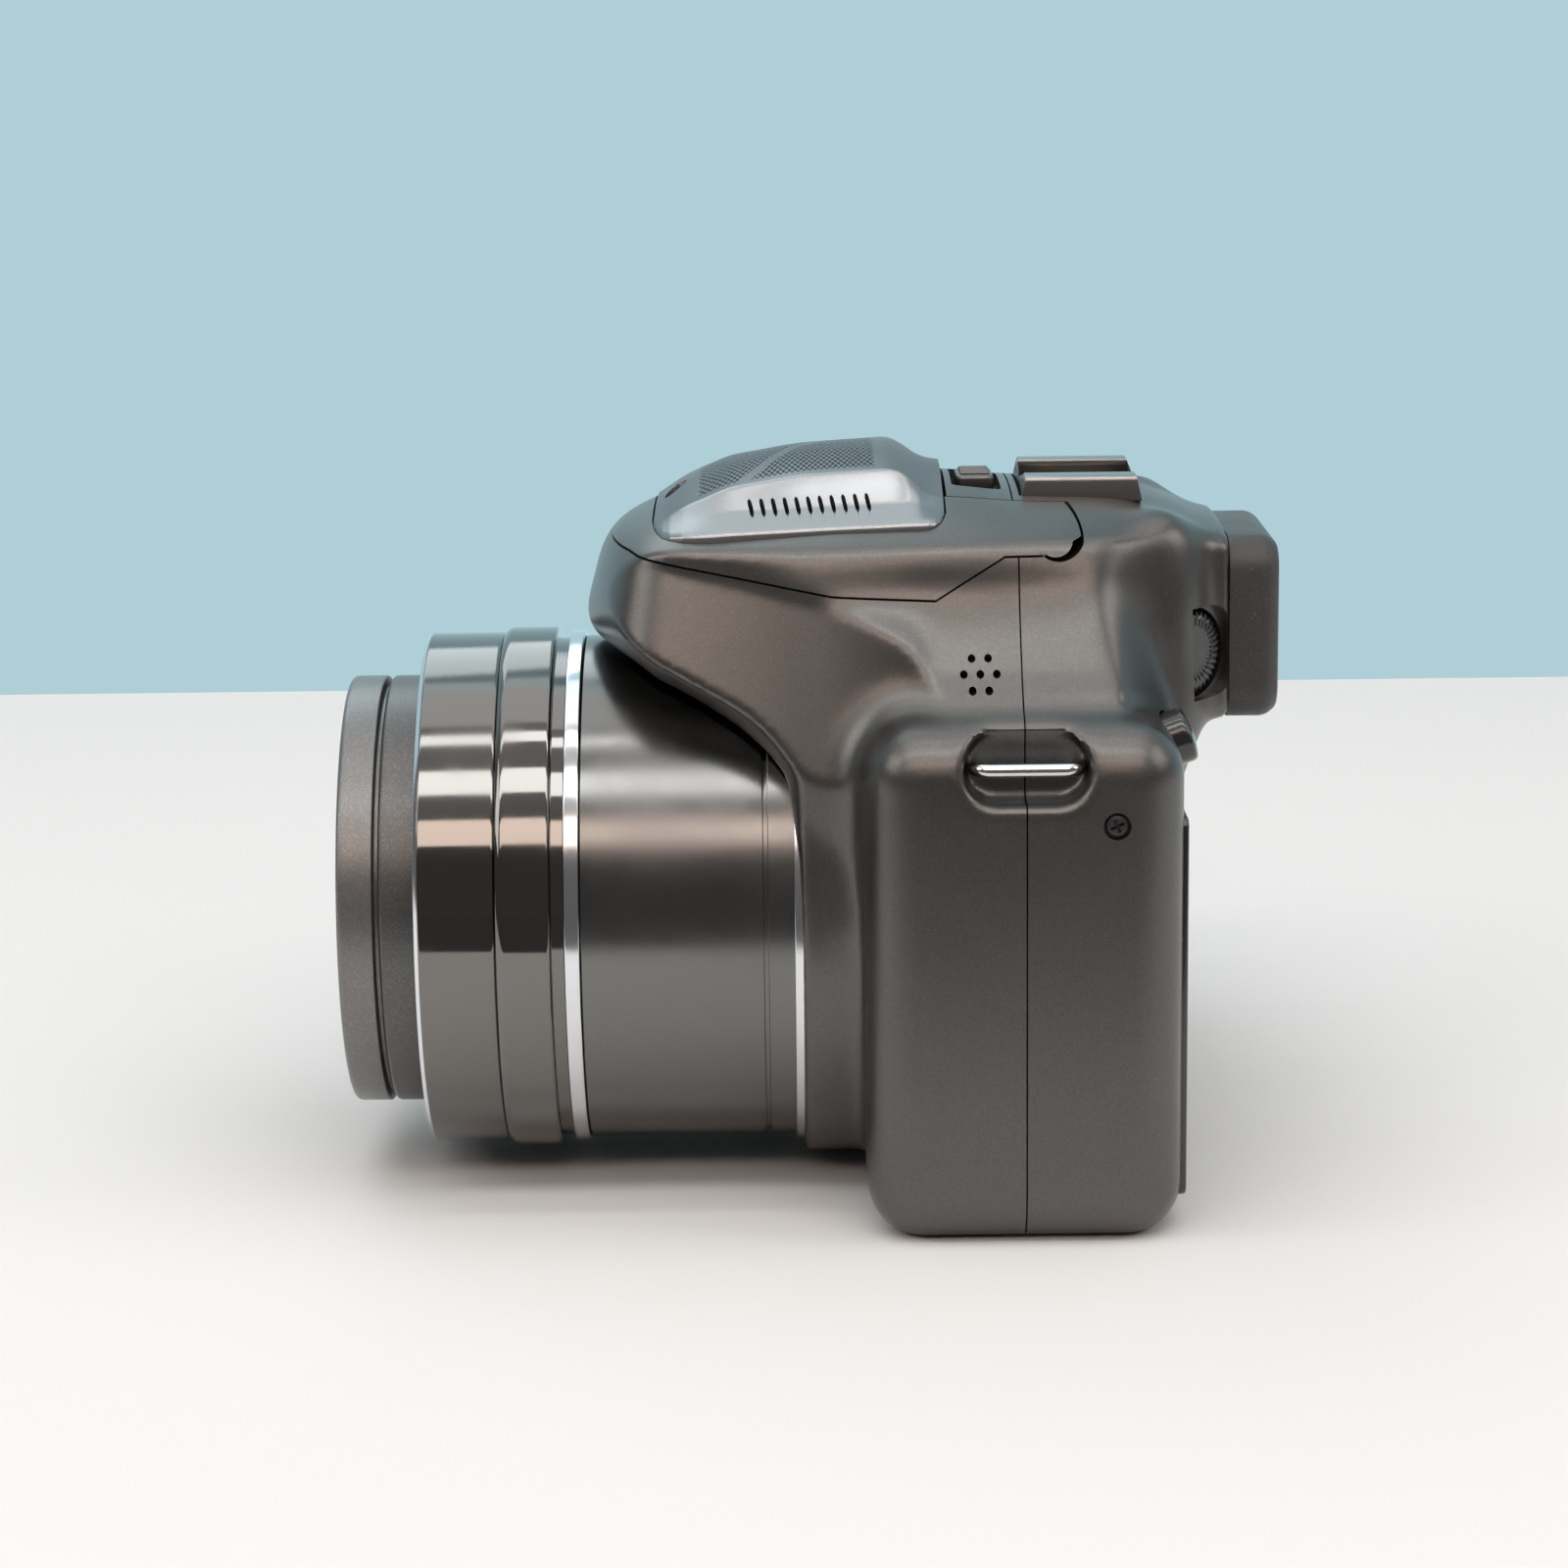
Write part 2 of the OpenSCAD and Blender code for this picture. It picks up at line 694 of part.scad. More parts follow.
module chassis() {
    color(silver)
        difference() {
            union() {
                translate([-46, 8, 3]) cube([85, 1.2, shoulder_h - 10]);
                translate([card_seat_x, 8, 6]) cube([10, 1.2, 30]);
                translate([card_seat_x, -10, 6]) cube([1.2, 18.5, 30]);
            }
            translate([-40, 7, 12]) cube([20, 4, 30]);
            translate([24, 7, 12]) cube([12, 4, 30]);
        }
}

module main_board() {
    color(board_green) {
        translate([-44, 11, 5]) cube([84, 1.2, shoulder_h - 13]);
        for (c = [[-30, 20, 12], [-6, 34, 14], [22, 24, 10]])
            translate([c[0], 9.4, c[1]]) cube([c[2], 1.6, c[2]]);
    }
}

module image_sensor() {
    color(gloss_black)
        difference() {
            translate([-14, 2.4, lens_z - 12]) cube([28, 5.4, 24]);
            translate([-4, 0, lens_z - 3.5]) cube([8, 3.2, 7]);
        }
}

module lens_barrel() {
    color(matte_black)
        lens_axis()
            rotate_extrude($fn = 96)
                polygon([
                    [15, -2], [17, -2], [17, barrel_back - 2], [barrel_r, barrel_back - 2],
                    [barrel_r, collar_reach + 4.4], [barrel_r - 0.5, collar_reach + 4.4],
                    [barrel_r - 0.5, collar_reach + 5], [barrel_r, collar_reach + 5],
                    [barrel_r, barrel_front], [carrier_r, barrel_front],
                    [carrier_r, ring_front - 1.2], [barrel_in, ring_front - 1.2],
                    [barrel_in, barrel_back], [15, barrel_back]
                ]);
}

module chrome_rings() {
    color(chrome) {
        tube(chrome_r, barrel_r + tiny, base_ring_s, base_ring_s + chrome_w - 0.4);
        tube(chrome_r, carrier_r + tiny, barrel_front + tiny, barrel_front + chrome_w);
    }
}

module rear_ring() {
    color(gloss_black)
        lens_axis()
            rotate_extrude($fn = 96)
                polygon([
                    [carrier_r + tiny, barrel_front + chrome_w + tiny],
                    [barrel_r - 0.2, barrel_front + chrome_w + tiny], [barrel_r - 0.2, rear_ring_s],
                    [rear_ring_r - 0.3, rear_ring_s], [rear_ring_r, rear_ring_s + 0.3],
                    [rear_ring_r, front_ring_s - 0.4], [rear_ring_r - 0.3, front_ring_s],
                    [carrier_r + tiny, front_ring_s]
                ]);
}

module front_ring() {
    color(gloss_black)
        lens_axis()
            rotate_extrude($fn = 96)
                polygon([
                    [carrier_r + tiny, front_ring_s + tiny], [front_ring_r, front_ring_s + tiny],
                    [front_ring_r, ring_front - 0.5], [front_ring_r - 0.5, ring_front],
                    [stage_1_r + 0.4, ring_front], [stage_1_r + 0.4, ring_front - 1.1],
                    [carrier_r + tiny, ring_front - 1.1]
                ]);
}

module zoom_motor() {
    color(silver)
        translate([-27, 0, lens_z - 24]) rotate([90, 0, 0]) {
            cylinder(r = 5, h = barrel_back - 2.2);
            translate([0, 0, -4]) cylinder(r = 2, h = 4);
        }
}

module rear_lens_group() {
    color("lightsteelblue")
        lens_axis()
            rotate_extrude($fn = 64)
                polygon([[0, 1], [14.8, 3], [14.8, 8], [0, 10]]);
}

module cam_ring() {
    color(silver)
        difference() {
            tube(cam_out, cam_in, barrel_back + 3, barrel_front - 2);
            for (k = [0:2])
                lens_axis()
                    rotate([0, 0, 120 * k])
                        translate([cam_in - 1, -2, barrel_back + 8]) cube([4, 4, 26]);
        }
}

module zoom_stage_1() {
    color(matte_black)
        lens_axis()
            rotate_extrude($fn = 96)
                polygon([
                    [stage_1_r - stage_wall, barrel_back + 5], [stage_1_r, barrel_back + 5],
                    [stage_1_r, stage_1_front], [stage_2_r + 0.35, stage_1_front],
                    [stage_2_r + 0.35, stage_1_front - 1.6], [stage_1_r - stage_wall, stage_1_front - 1.6]
                ]);
}

module zoom_stage_2() {
    color(matte_black)
        lens_axis()
            rotate_extrude($fn = 96)
                polygon([
                    [stage_2_r - stage_wall, barrel_back + 11],
                    [stage_1_r - stage_wall - 0.35, barrel_back + 11],
                    [stage_1_r - stage_wall - 0.35, barrel_back + 13.5], [stage_2_r, barrel_back + 13.5],
                    [stage_2_r, stage_2_front - 0.4], [stage_2_r - 0.4, stage_2_front],
                    [stage_2_r - stage_wall, stage_2_front], [stage_2_r - stage_wall, stage_2_front - 6],
                    [element_r, stage_2_front - 8.4], [element_r, stage_2_front - 16],
                    [element_r + 1.2, stage_2_front - 16],
                    [stage_2_r - stage_wall, stage_2_front - 14]
                ]);
}

module front_element() {
    color("lightsteelblue")
        lens_axis()
            intersection() {
                translate([0, 0, stage_2_front - 16]) cylinder(r = element_r - 0.04, h = 8.4, $fn = 96);
                translate([0, 0, stage_2_front - 9 - 62]) sphere(62, $fn = 96);
            }
}

module lens_cap() {
    color(matte_black)
        difference() {
            lens_axis()
                rotate_extrude($fn = 96)
                    polygon(concat(
                        [[0, cap_back + 0.6], [stage_2_r - 3.6, cap_back + 0.6],
                         [stage_2_r - 3.6, cap_back - 3.4], [stage_2_r - 1.6, cap_back - 3.4],
                         [stage_2_r - 1.6, cap_back], [stage_2_r, cap_back]],
                        [for (a = [0:15:90])
                            [stage_2_r - 1.2 + 1.2 * cos(a), cap_front - 1.2 + 1.2 * sin(a)]],
                        [[0, cap_front]]
                    ));
            lens_axis()
                translate([-stage_2_r + 4, -7, cap_front - 2.6]) cube([2 * stage_2_r - 8, 14, 4]);
        }
}

module cap_latch(side) {
    color(gloss_black)
        lens_axis()
            difference() {
                translate([side > 0 ? 5 : -stage_2_r + 6.2, -7 + clear, cap_front - 2.6 + 0.1])
                    cube([stage_2_r - 11.2, 14 - 2 * clear, 2.3]);
                translate([side * (stage_2_r - 16), 0, cap_front + 4]) rotate([90, 0, 0])
                    cylinder(r = 5, h = 20, center = true);
            }
}

module cap_latch_left() { cap_latch(1); }

module cap_latch_right() { cap_latch(-1); }

// Section of the microphone cover at y, drawn in by t
function mic_outline(y, t) =
    let (
        share = lookup(y, [[-47.3, 0.72], [-45.5, 0.9], [-43, 0.98], [-40, 1], [-12.6, 1],
            [mic_back, 0.94]]),
        half = 23.6 * share - t,
        foot = lookup(y, [[-47.3, barrel_top + 17.2], [-30, barrel_top + 16.4],
            [mic_back, barrel_top + 16.6]]),
        crest = lookup(y, [[-47.3, crest_z - 6.6], [-44, crest_z - 4.2], [-38, crest_z - 2.2],
            [-30.7, crest_z - 0.8], [-23, crest_z - 0.2], [-15.3, crest_z], [-12.6, crest_z - 0.6],
            [mic_back, crest_z - 2.4]]) - t,
        ridge = lookup(y, [[-47.3, crest_z - 7], [-38, crest_z - 4.4], [-15.7, crest_z - 1.8],
            [mic_back, crest_z - 3.2]]) - t,
        p = [[half, foot], [half, foot + 1.2], [17.4 * share - t, ridge - 0.4],
            [14 * share - t, ridge + 0.6]]
    )
    concat(p, [[0, crest]], [for (i = [len(p) - 1:-1:0]) [-p[i][0], p[i][1]]]);

mic_stations = [-47.3, -46.6, -45.5, -43, -38, -30.7, -23, -15.3, -12.6, mic_back];

module mic_form(t) {
    skin([for (y = mic_stations) place_ring(rounded(mic_outline(y, t), 1), y)]);
}

module microphone_cover() {
    color(silver)
        difference() {
            mic_form(0);
            intersection() {
                mic_form(1.3);
                translate([-big, -45.9, 0]) cube([2 * big, 45.9 + mic_back - 1.3, big]);
            }
            for (side = [-1, 1], k = [0:10])
                hull()
                    for (u = [0, 1])
                        translate([side * (19.6 + 0.9 * u), -35 + 1.55 * k, barrel_top + 21 - u])
                            sphere(0.42, $fn = 8);
        }
}

module flash_lid() {
    color(lid_grey)
        difference() {
            intersection() {
                skin(outer_rings());
                lid_zone(-lid_gap / 2);
            }
            skin(inner_rings(1.6));
            mic_form(-0.1);
            translate([-deck_half - 0.1, -lid_back - lid_swing_gap, 0])
                cube([2 * deck_half + 0.2, big, big]);
            for (side = [-1, 1])
                along_x(side * (hinge_ear_x + hinge_ear_w / 2) - hinge_ear_w / 2 - 0.3, hinge_y, hinge_z)
                    cylinder(r = hinge_ear_r + 0.15, h = hinge_ear_w + 0.6, $fn = 24);
        }
}

module flash_frame() {
    color(matte_black)
        difference() {
            union() {
                translate([-16, -46, barrel_top + 13.4]) cube([32, 33, 1.4]);
                for (x = [-hinge_ear_x - hinge_ear_w, hinge_ear_x]) {
                    rotate([90, 0, 90])
                        translate([0, 0, x])
                            linear_extrude(hinge_ear_w)
                                polygon([[-40, barrel_top + 13.4], [-14, barrel_top + 13.4],
                                    [-3, hinge_z - 1.3],
                                    [hinge_y, hinge_z - 1.3], [hinge_y, hinge_z + 0.6], [-8, hinge_z + 0.6],
                                    [-14, barrel_top + 15.2], [-40, barrel_top + 15.2]]);
                    along_x(x, hinge_y, hinge_z) cylinder(r = hinge_ear_r, h = hinge_ear_w);
                }
                translate([-15, -46, barrel_top + 8.2]) cube([30, 6, 5.4]);
            }
            along_x(-big, hinge_y, hinge_z) cylinder(r = hinge_pin_r + 0.05, h = 2 * big);
            translate([-13, -47, barrel_top + 9.4]) cube([26, 5, 3]);
        }
}

module flash_window() {
    color("whitesmoke")
        translate([-14.4, -47.4, barrel_top + 8.4]) cube([28.8, 1.3, 5]);
}

module flash_hinge_pin() {
    reach = hinge_ear_x + hinge_ear_w + 0.3;
    color(chrome) along_x(-reach, hinge_y, hinge_z) cylinder(r = hinge_pin_r, h = 2 * reach);
}

module flash_release() {
    color(gloss_black) {
        translate([-4, -7.3, crown_top - 4.2]) cube([8, 3.6, 3]);
        translate([-2.4, -6.4, crown_top - 6.8]) cube([4.8, 2.2, 2.7]);
        translate([-3.4, -7.25, crown_top - 6.9]) cube([6.8, 3.9, 0.8]);
        for (k = [0:3])
            translate([-3 + 1.8 * k, -7.1, crown_top - 1.3]) cube([0.7, 3.2, 0.5]);
    }
}

module hot_shoe() {
    half = shoe_w / 2;
    color("#2b2c2e")
        translate([0, shoe_y + shoe_l, shoe_z])
            rotate([90, 0, 0])
                linear_extrude(shoe_l)
                    polygon([
                        [-half, 0.02], [half, 0.02], [half, 3.4], [half - 4.2, 3.4], [half - 4.2, 2.6],
                        [half - 1.1, 2.6], [half - 1.1, 0.8], [-half + 1.1, 0.8], [-half + 1.1, 2.6],
                        [-half + 4.2, 2.6], [-half + 4.2, 3.4], [-half, 3.4]
                    ]);
}

module shoe_contacts() {
    color("gold")
        for (c = [[0, 8], [-4.5, 4], [4.5, 4], [-2.6, 12.4], [2.6, 12.4]])
            translate([c[0], shoe_y + c[1], shoe_z + 0.82]) cylinder(r = 1.1, h = 0.25, $fn = 24);
}

module eyecup_plan(half_w, half_h, r) {
    offset(r = r) square([2 * half_w - 2 * r, 2 * half_h - 2 * r], center = true);
}

module eyecup() {
    color(rubber_black)
        translate([0, eye_reach + 0.05, tower_low + 12.8]) rotate([-90, 0, 0])
            difference() {
                union() {
                    linear_extrude(eyecup_d - 1.4) eyecup_plan(tower_half - 0.6, 12.8, 4);
                    linear_extrude(eyecup_d) eyecup_plan(tower_half - 1.8, 11.6, 3.4);
                }
                translate([0, tower_low + 12.8 - eye_z, -1]) linear_extrude(20) eyecup_plan(10.2, 7.6, 2);
                translate([0, tower_low + 12.8 - eye_z, 3.6]) linear_extrude(20) eyecup_plan(12.4, 9.6, 3);
            }
}

module eyepiece_lens() {
    color("lightsteelblue")
        translate([-10, eye_reach - 3.4, eye_z - 7.4]) cube([20, 2.8, 14.8]);
}

module viewfinder_display() {
    color(gloss_black)
        translate([-9.6, eye_reach - 12, eye_z - 7]) cube([19.2, 8.4, 14]);
}

module diopter_dial() {
    color(gloss_black)
        on_flank() translate([0, 0, -2.1]) {
            difference() {
                cylinder(r = diopter_r, h = 3.4);
                for (k = [0:23])
                    rotate([0, 0, 15 * k])
                        translate([diopter_r + 0.15, 0, -1]) cylinder(r = 0.5, h = 6, $fn = 16);
            }
            cylinder(r = 2, h = 3.9);
        }
}

module viewfinder_button() {
    color(gloss_black) on_rear_slope() button(vf_button_r, 1.4, 4.5);
}

module display_frame() {
    color(gloss_black)
        translate([display_x, 0, display_z])
            difference() {
                translate([-display_w / 2, body_rear - 0.65, -display_h / 2])
                    cube([display_w, 1.3, display_h]);
                translate([-display_w / 2 + display_in, body_rear - 5, -display_h / 2 + display_in / 2])
                    cube([display_w - 2 * display_in, 10, display_h - display_in]);
            }
}

module display_screen() {
    color("#0b0d12")
        translate([display_x - display_w / 2 + display_in + 0.1, body_rear - 0.65,
            display_z - display_h / 2 + display_in / 2 + 0.1])
            cube([display_w - 2 * display_in - 0.2, 1, display_h - display_in - 0.2]);
}

module knurled_disc(r, h, count) {
    difference() {
        union() {
            cylinder(r = r, h = h - 0.6);
            cylinder(r1 = r, r2 = r - 0.6, h = h);
        }
        for (k = [0:count - 1])
            rotate([0, 0, 360 * k / count])
                translate([r + 0.25, 0, -1]) cylinder(r = 0.6, h = h + 2, $fn = 16);
    }
}

module mode_dial() {
    color(gloss_black)
        on_plate(mode_dial_x, 2) {
            translate([0, 0, 0.4]) knurled_disc(mode_dial_r, mode_dial_h, 36);
            translate([0, 0, -wall - 0.4]) cylinder(r = 3, h = wall + 1);
            translate([0, 0, -wall - 1.3]) cylinder(r = 4.4, h = 0.95);
        }
}

module power_lever() {
    color(gloss_black)
        on_plate(power_x, 5) {
            translate([0, 0, 0.4]) cylinder(r = 5.6, h = 2.4);
            translate([3, -1.6, 0.4]) cube([5, 3.2, 2.8]);
            translate([0, 0, -wall - 0.4]) cylinder(r = 2.2, h = wall + 1);
            translate([0, 0, -wall - 1.3]) cylinder(r = 3.6, h = 0.95);
        }
}

// A round push button: cap with a broken edge, and a flange that keeps it in the cover
module button(r, proud, flange) {
    rotate_extrude()
        polygon([
            [0, -flange - 0.9], [r + 0.8, -flange - 0.9], [r + 0.8, -flange], [r, -flange],
            [r, proud - 0.4], [r - 0.4, proud], [0, proud]
        ]);
}

module shutter_button() {
    color(silver)
        on_slope()
            rotate_extrude()
                polygon([
                    [0, -wall - 2.6], [3, -wall - 2.6], [3, 2], [shutter_r, 2.5], [shutter_r, 4.2],
                    [shutter_r - 0.7, 4.9], [0, 4.7]
                ]);
}

module zoom_lever() {
    color(gloss_black)
        on_slope()
            difference() {
                union() {
                    translate([0, 0, 0.4]) cylinder(r = zoom_lever_r, h = 3);
                    translate([-2.2, -zoom_lever_r - 2.6, 0.4]) cube([4.4, 6, 3.6]);
                    translate([0, 0, -wall - 0.5]) cylinder(r = 4.2, h = wall + 1);
                    translate([0, 0, -wall - 1.5]) cylinder(r = 5.2, h = 1.05);
                }
                translate([0, 0, -10]) cylinder(r = 3.35, h = 20);
                translate([0, 0, 0.7]) cylinder(r = shutter_r + clear, h = 20);
            }
}

module plate_button(k) {
    c = plate_buttons[k];
    color(gloss_black) on_plate(c[0], c[1]) button(c[2], button_proud, wall + clear);
}

module burst_button() { plate_button(0); }

module movie_button() { plate_button(1); }

module rear_dial() {
    color(gloss_black)
        translate([rear_dial_x, rear_dial_y, rear_dial_z - rear_dial_w / 2])
            knurled_disc(rear_dial_r, rear_dial_w, 30);
}

module back_button(k) {
    c = small_buttons[k];
    color(gloss_black) on_back(c[0], c[1]) button(c[2], button_proud, wall + clear);
}

module playback_button() { back_button(0); }

module display_button() { back_button(1); }

module menu_button() { back_button(2); }

module set_button() { back_button(3); }

module cursor_up() { back_button(4); }

module cursor_down() { back_button(5); }

module cursor_left() { back_button(6); }

module cursor_right() { back_button(7); }

// One strap lug: a wire staple whose legs end in the pocket's floor
module lug_staple() {
    bend = 2.2;
    r = lug_wire / 2;
    half = lug_l / 2 - r;
    leg = lug_pocket_d - lug_inset - tiny;
    translate([0, -half + bend, 0]) rotate([-90, 0, 0]) cylinder(r = r, h = 2 * (half - bend));
    for (m = [0, 1])
        mirror([0, m, 0]) {
            translate([-bend, half - bend, 0]) rotate_extrude(angle = 90) translate([bend, 0]) circle(r);
            translate([-leg, half, 0]) rotate([0, 90, 0]) cylinder(r = r, h = leg - bend);
        }
}

module strap_lugs() {
    color(chrome) {
        translate([body_left - lug_inset, lug_y, lug_z]) lug_staple();
        translate([-body_right + lug_inset, lug_y, lug_z]) mirror([1, 0, 0]) lug_staple();
    }
}

module screw() {
    difference() {
        union() {
            cylinder(r = screw_r, h = 1);
            translate([0, 0, -screw_shank_l]) cylinder(r = screw_shank_r, h = screw_shank_l + 0.2);
        }
        for (a = [0, 90])
            rotate([0, 0, a]) translate([-1.2, -0.25, 0.4]) cube([2.4, 0.5, 2]);
    }
}

module cover_screws() {
    color(gloss_black) {
        for (c = side_screws)
            translate(c) rotate([0, c[0] > 0 ? 90 : -90, 0]) translate([0, 0, tiny - screw_sink]) screw();
        for (c = base_screws)
            translate(c) rotate([180, 0, 0]) translate([0, 0, tiny - screw_sink]) screw();
    }
}

module tripod_socket() {
    color(chrome)
        difference() {
            union() {
                cylinder(r = socket_flange_r, h = 1.2, $fn = 64);
                cylinder(r = tripod_r + 2.6, h = tripod_depth + 1.2, $fn = 64);
            }
            translate([0, 0, -1]) cylinder(r = tripod_r, h = tripod_depth + 1, $fn = 64);
        }
}

module battery_door() {
    color(body_grey)
        difference() {
            union() {
                translate([door_axis_x, door_y, door_z]) cube([door_w - door_knuckle, door_l, door_t]);
                translate([door_axis_x, door_y, door_axis_z]) rotate([-90, 0, 0])
                    cylinder(r = door_knuckle, h = door_l);
                translate([door_axis_x, door_y - 1.2, door_axis_z]) rotate([-90, 0, 0])
                    cylinder(r = 0.7, h = door_l + 2.4);
            }
            translate([door_x + door_w - lock_w - lock_slide - 3, door_y + 12, -1])
                cube([lock_w + lock_slide + 2 * clear, 6, 5]);
        }
}

module door_lock() {
    x = door_x + door_w - lock_w - 3 + clear;
    color(gloss_black) {
        translate([x, door_y + 12 + clear, door_z + 0.15]) cube([lock_w, 6 - 2 * clear, door_t + 0.1]);
        translate([x - 1, door_y + 11, door_z + door_t + 0.2]) cube([lock_w + 2.4, 8, 0.6]);
    }
}

module battery() {
    color(matte_black)
        translate([battery_x, battery_y, 3.4]) cube([battery_w, battery_l, battery_h]);
}

module memory_card() {
    color("#22324a")
        translate([card_seat_x - tiny - card_t, -16.5, 5]) cube([card_t, 24, 32]);
}

module terminal_door() {
    color(rubber_black)
        translate([-body_right, terminal_y, terminal_z]) {
            translate([0.05, terminal_knuckle, 0])
                cube([terminal_t, terminal_w - terminal_knuckle, terminal_h]);
            translate([terminal_knuckle, terminal_knuckle, 0])
                cylinder(r = terminal_knuckle - 0.02, h = terminal_h);
            translate([terminal_knuckle, terminal_knuckle, -1.2]) cylinder(r = 0.7, h = terminal_h + 2.4);
        }
}

module jack_block() {
    color(silver)
        difference() {
            translate([-body_right + wall + 0.2, terminal_y + 1, terminal_z + 1])
                cube([8, terminal_w - 2, terminal_h - 2]);
            for (c = [[4, 7, 3.4], [13, 6, 3], [21, 5, 2.4]])
                translate([-body_right + wall - 1, terminal_y + terminal_w / 2 - c[2] / 2,
                    terminal_z + c[0] - 1])
                    cube([6, c[2], c[1] - 1]);
        }
}

module speaker() {
    color(silver)
        speaker_place() cylinder(r = speaker_r, h = speaker_h);
}

front_cover();
rear_cover();
top_cover();
grip_rubber();
chassis();
main_board();
image_sensor();
lens_barrel();
chrome_rings();
rear_ring();
front_ring();
zoom_motor();
rear_lens_group();
cam_ring();
zoom_stage_1();
zoom_stage_2();
front_element();
lens_cap();
cap_latch_left();
cap_latch_right();
flash_lid();
flash_frame();
flash_window();
flash_hinge_pin();
microphone_cover();
flash_release();
hot_shoe();
shoe_contacts();
eyecup();
eyepiece_lens();
viewfinder_display();
diopter_dial();
viewfinder_button();
display_frame();
display_screen();
mode_dial();
power_lever();
shutter_button();
zoom_lever();
burst_button();
movie_button();
rear_dial();
playback_button();
display_button();
menu_button();
set_button();
cursor_up();
cursor_down();
cursor_left();
cursor_right();
strap_lugs();
cover_screws();
tripod_socket();
battery_door();
door_lock();
battery();
memory_card();
terminal_door();
jack_block();
speaker();
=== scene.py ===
"""Looks of the bridge camera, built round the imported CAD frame.

All shapes are worked out in millimetres in the CAD's own frame (the lens looks along -Y, +Z is up) and
are scaled to metres when they become meshes. A shape is three arrays: points, four-sided faces and
triangles. Most are a grid of points, one row after another; the moulded covers, whose forms melt into
each other, are a distance field on a box of voxels instead.
"""
import json
import math
from functools import partial

import bpy
import numpy as np
import openvdb
from mathutils import Matrix, Vector


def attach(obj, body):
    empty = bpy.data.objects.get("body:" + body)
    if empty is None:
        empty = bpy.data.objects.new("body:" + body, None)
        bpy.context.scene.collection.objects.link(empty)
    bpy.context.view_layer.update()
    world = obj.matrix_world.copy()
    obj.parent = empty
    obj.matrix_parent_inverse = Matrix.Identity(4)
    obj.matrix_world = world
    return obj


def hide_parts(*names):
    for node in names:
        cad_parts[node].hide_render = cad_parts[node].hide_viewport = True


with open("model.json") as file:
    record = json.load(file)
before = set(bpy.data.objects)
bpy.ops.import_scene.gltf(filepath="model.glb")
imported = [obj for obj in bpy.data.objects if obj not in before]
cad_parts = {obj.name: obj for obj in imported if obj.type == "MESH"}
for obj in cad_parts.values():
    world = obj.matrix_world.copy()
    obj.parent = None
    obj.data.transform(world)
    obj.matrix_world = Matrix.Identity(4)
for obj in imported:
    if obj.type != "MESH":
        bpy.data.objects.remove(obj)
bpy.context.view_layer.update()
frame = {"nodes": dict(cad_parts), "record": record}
scene = bpy.context.scene
nodes = frame["nodes"]
record = frame["record"]
BODY_OF = {node: body for body, held in record["behaviour"]["bodies"].items() for node in held}
SLOT_OF = {item["node"]: item["material_slot"] for item in record["subparts"]}
MM = 0.001

# Sizes shared with the CAD
LENS_Z, BORE_R, COLLAR_R, COLLAR_REACH = 37.2, 35.3, 36.4, 29.0
BODY_LEFT, BODY_RIGHT, BODY_FRONT, BODY_REAR = 47.0, 83.2, 21.0, 19.5
SHOULDER, EDGE_R, SEAM_Y, CLEAR = 67.5, 7.5, -0.8, 0.35
TOWER_LOW, EYE_REACH, SHOE_Z, SHOE_Y = 61.9, 27.6, 90.8, 0.3
HINGE_Y, HINGE_Z = 4.0, 88.4
SLOPE_DEGREES = 13
SLOPE = math.radians(SLOPE_DEGREES)
SHUTTER = (-69.5, -32.5, 63.229)
LUG_Y, LUG_Z = -0.7, 62.0
MODE_DIAL, POWER_LEVER, REAR_DIAL = (-53, 2, SHOULDER), (-72.6, 5, SHOULDER), (-58, 14.1, 52)
DISPLAY_X, DISPLAY_Z = 5.5, 29.5
FLANK_DIAL, FLANK_DEGREES = (17.5, 21.6, 71.8), 42
VIEW_BUTTON_X, VIEW_BUTTON_DEGREES = 29, 20
SPEAKER_Y, SPEAKER_Z, SPEAKER_PITCH = -6.1, 72.4, 2.1
EAR_X = 14.6
DOOR_PIN_X, DOOR_PIN_Z = -77.15, 1.6
FLAP_PIN_X, FLAP_PIN_Y = -82.1, 2.6
SIDE_SCREWS = [(BODY_LEFT, 10.5, 55.0), (-BODY_RIGHT, 6.0, 54.0)]
BASE_SCREWS = [(38, -10.6, 0), (38, 10.6, 0), (-44, -10.6, 0), (-44, 10.6, 0)]
# Place across, place up or back, and radius of each button
BACK_BUTTONS = {
    "playback_button": (-42, 46, 2.9), "display_button": (-42, 11, 2.9), "menu_button": (-72, 12.5, 2.9),
    "set_button": (-57, 26, 4.6), "cursor_up": (-57, 35.4, 2.9), "cursor_down": (-57, 16.6, 2.9),
    "cursor_left": (-47.6, 26, 2.9), "cursor_right": (-66.4, 26, 2.9)}
PLATE_BUTTONS = {"burst_button": (-62.5, -8.5, 2.9), "movie_button": (-71.5, -10, 3.2)}

# The camera stands where the photograph was taken from
SENSOR, FOCAL_PIXELS, PHOTO_PIXELS = 36, 4307, 1600
AZIMUTH, ELEVATION, ROLL = math.radians(90), math.radians(12), -0.0116
DISTANCE, TARGET = 575.0, Vector((0, -31.2, 51.0))


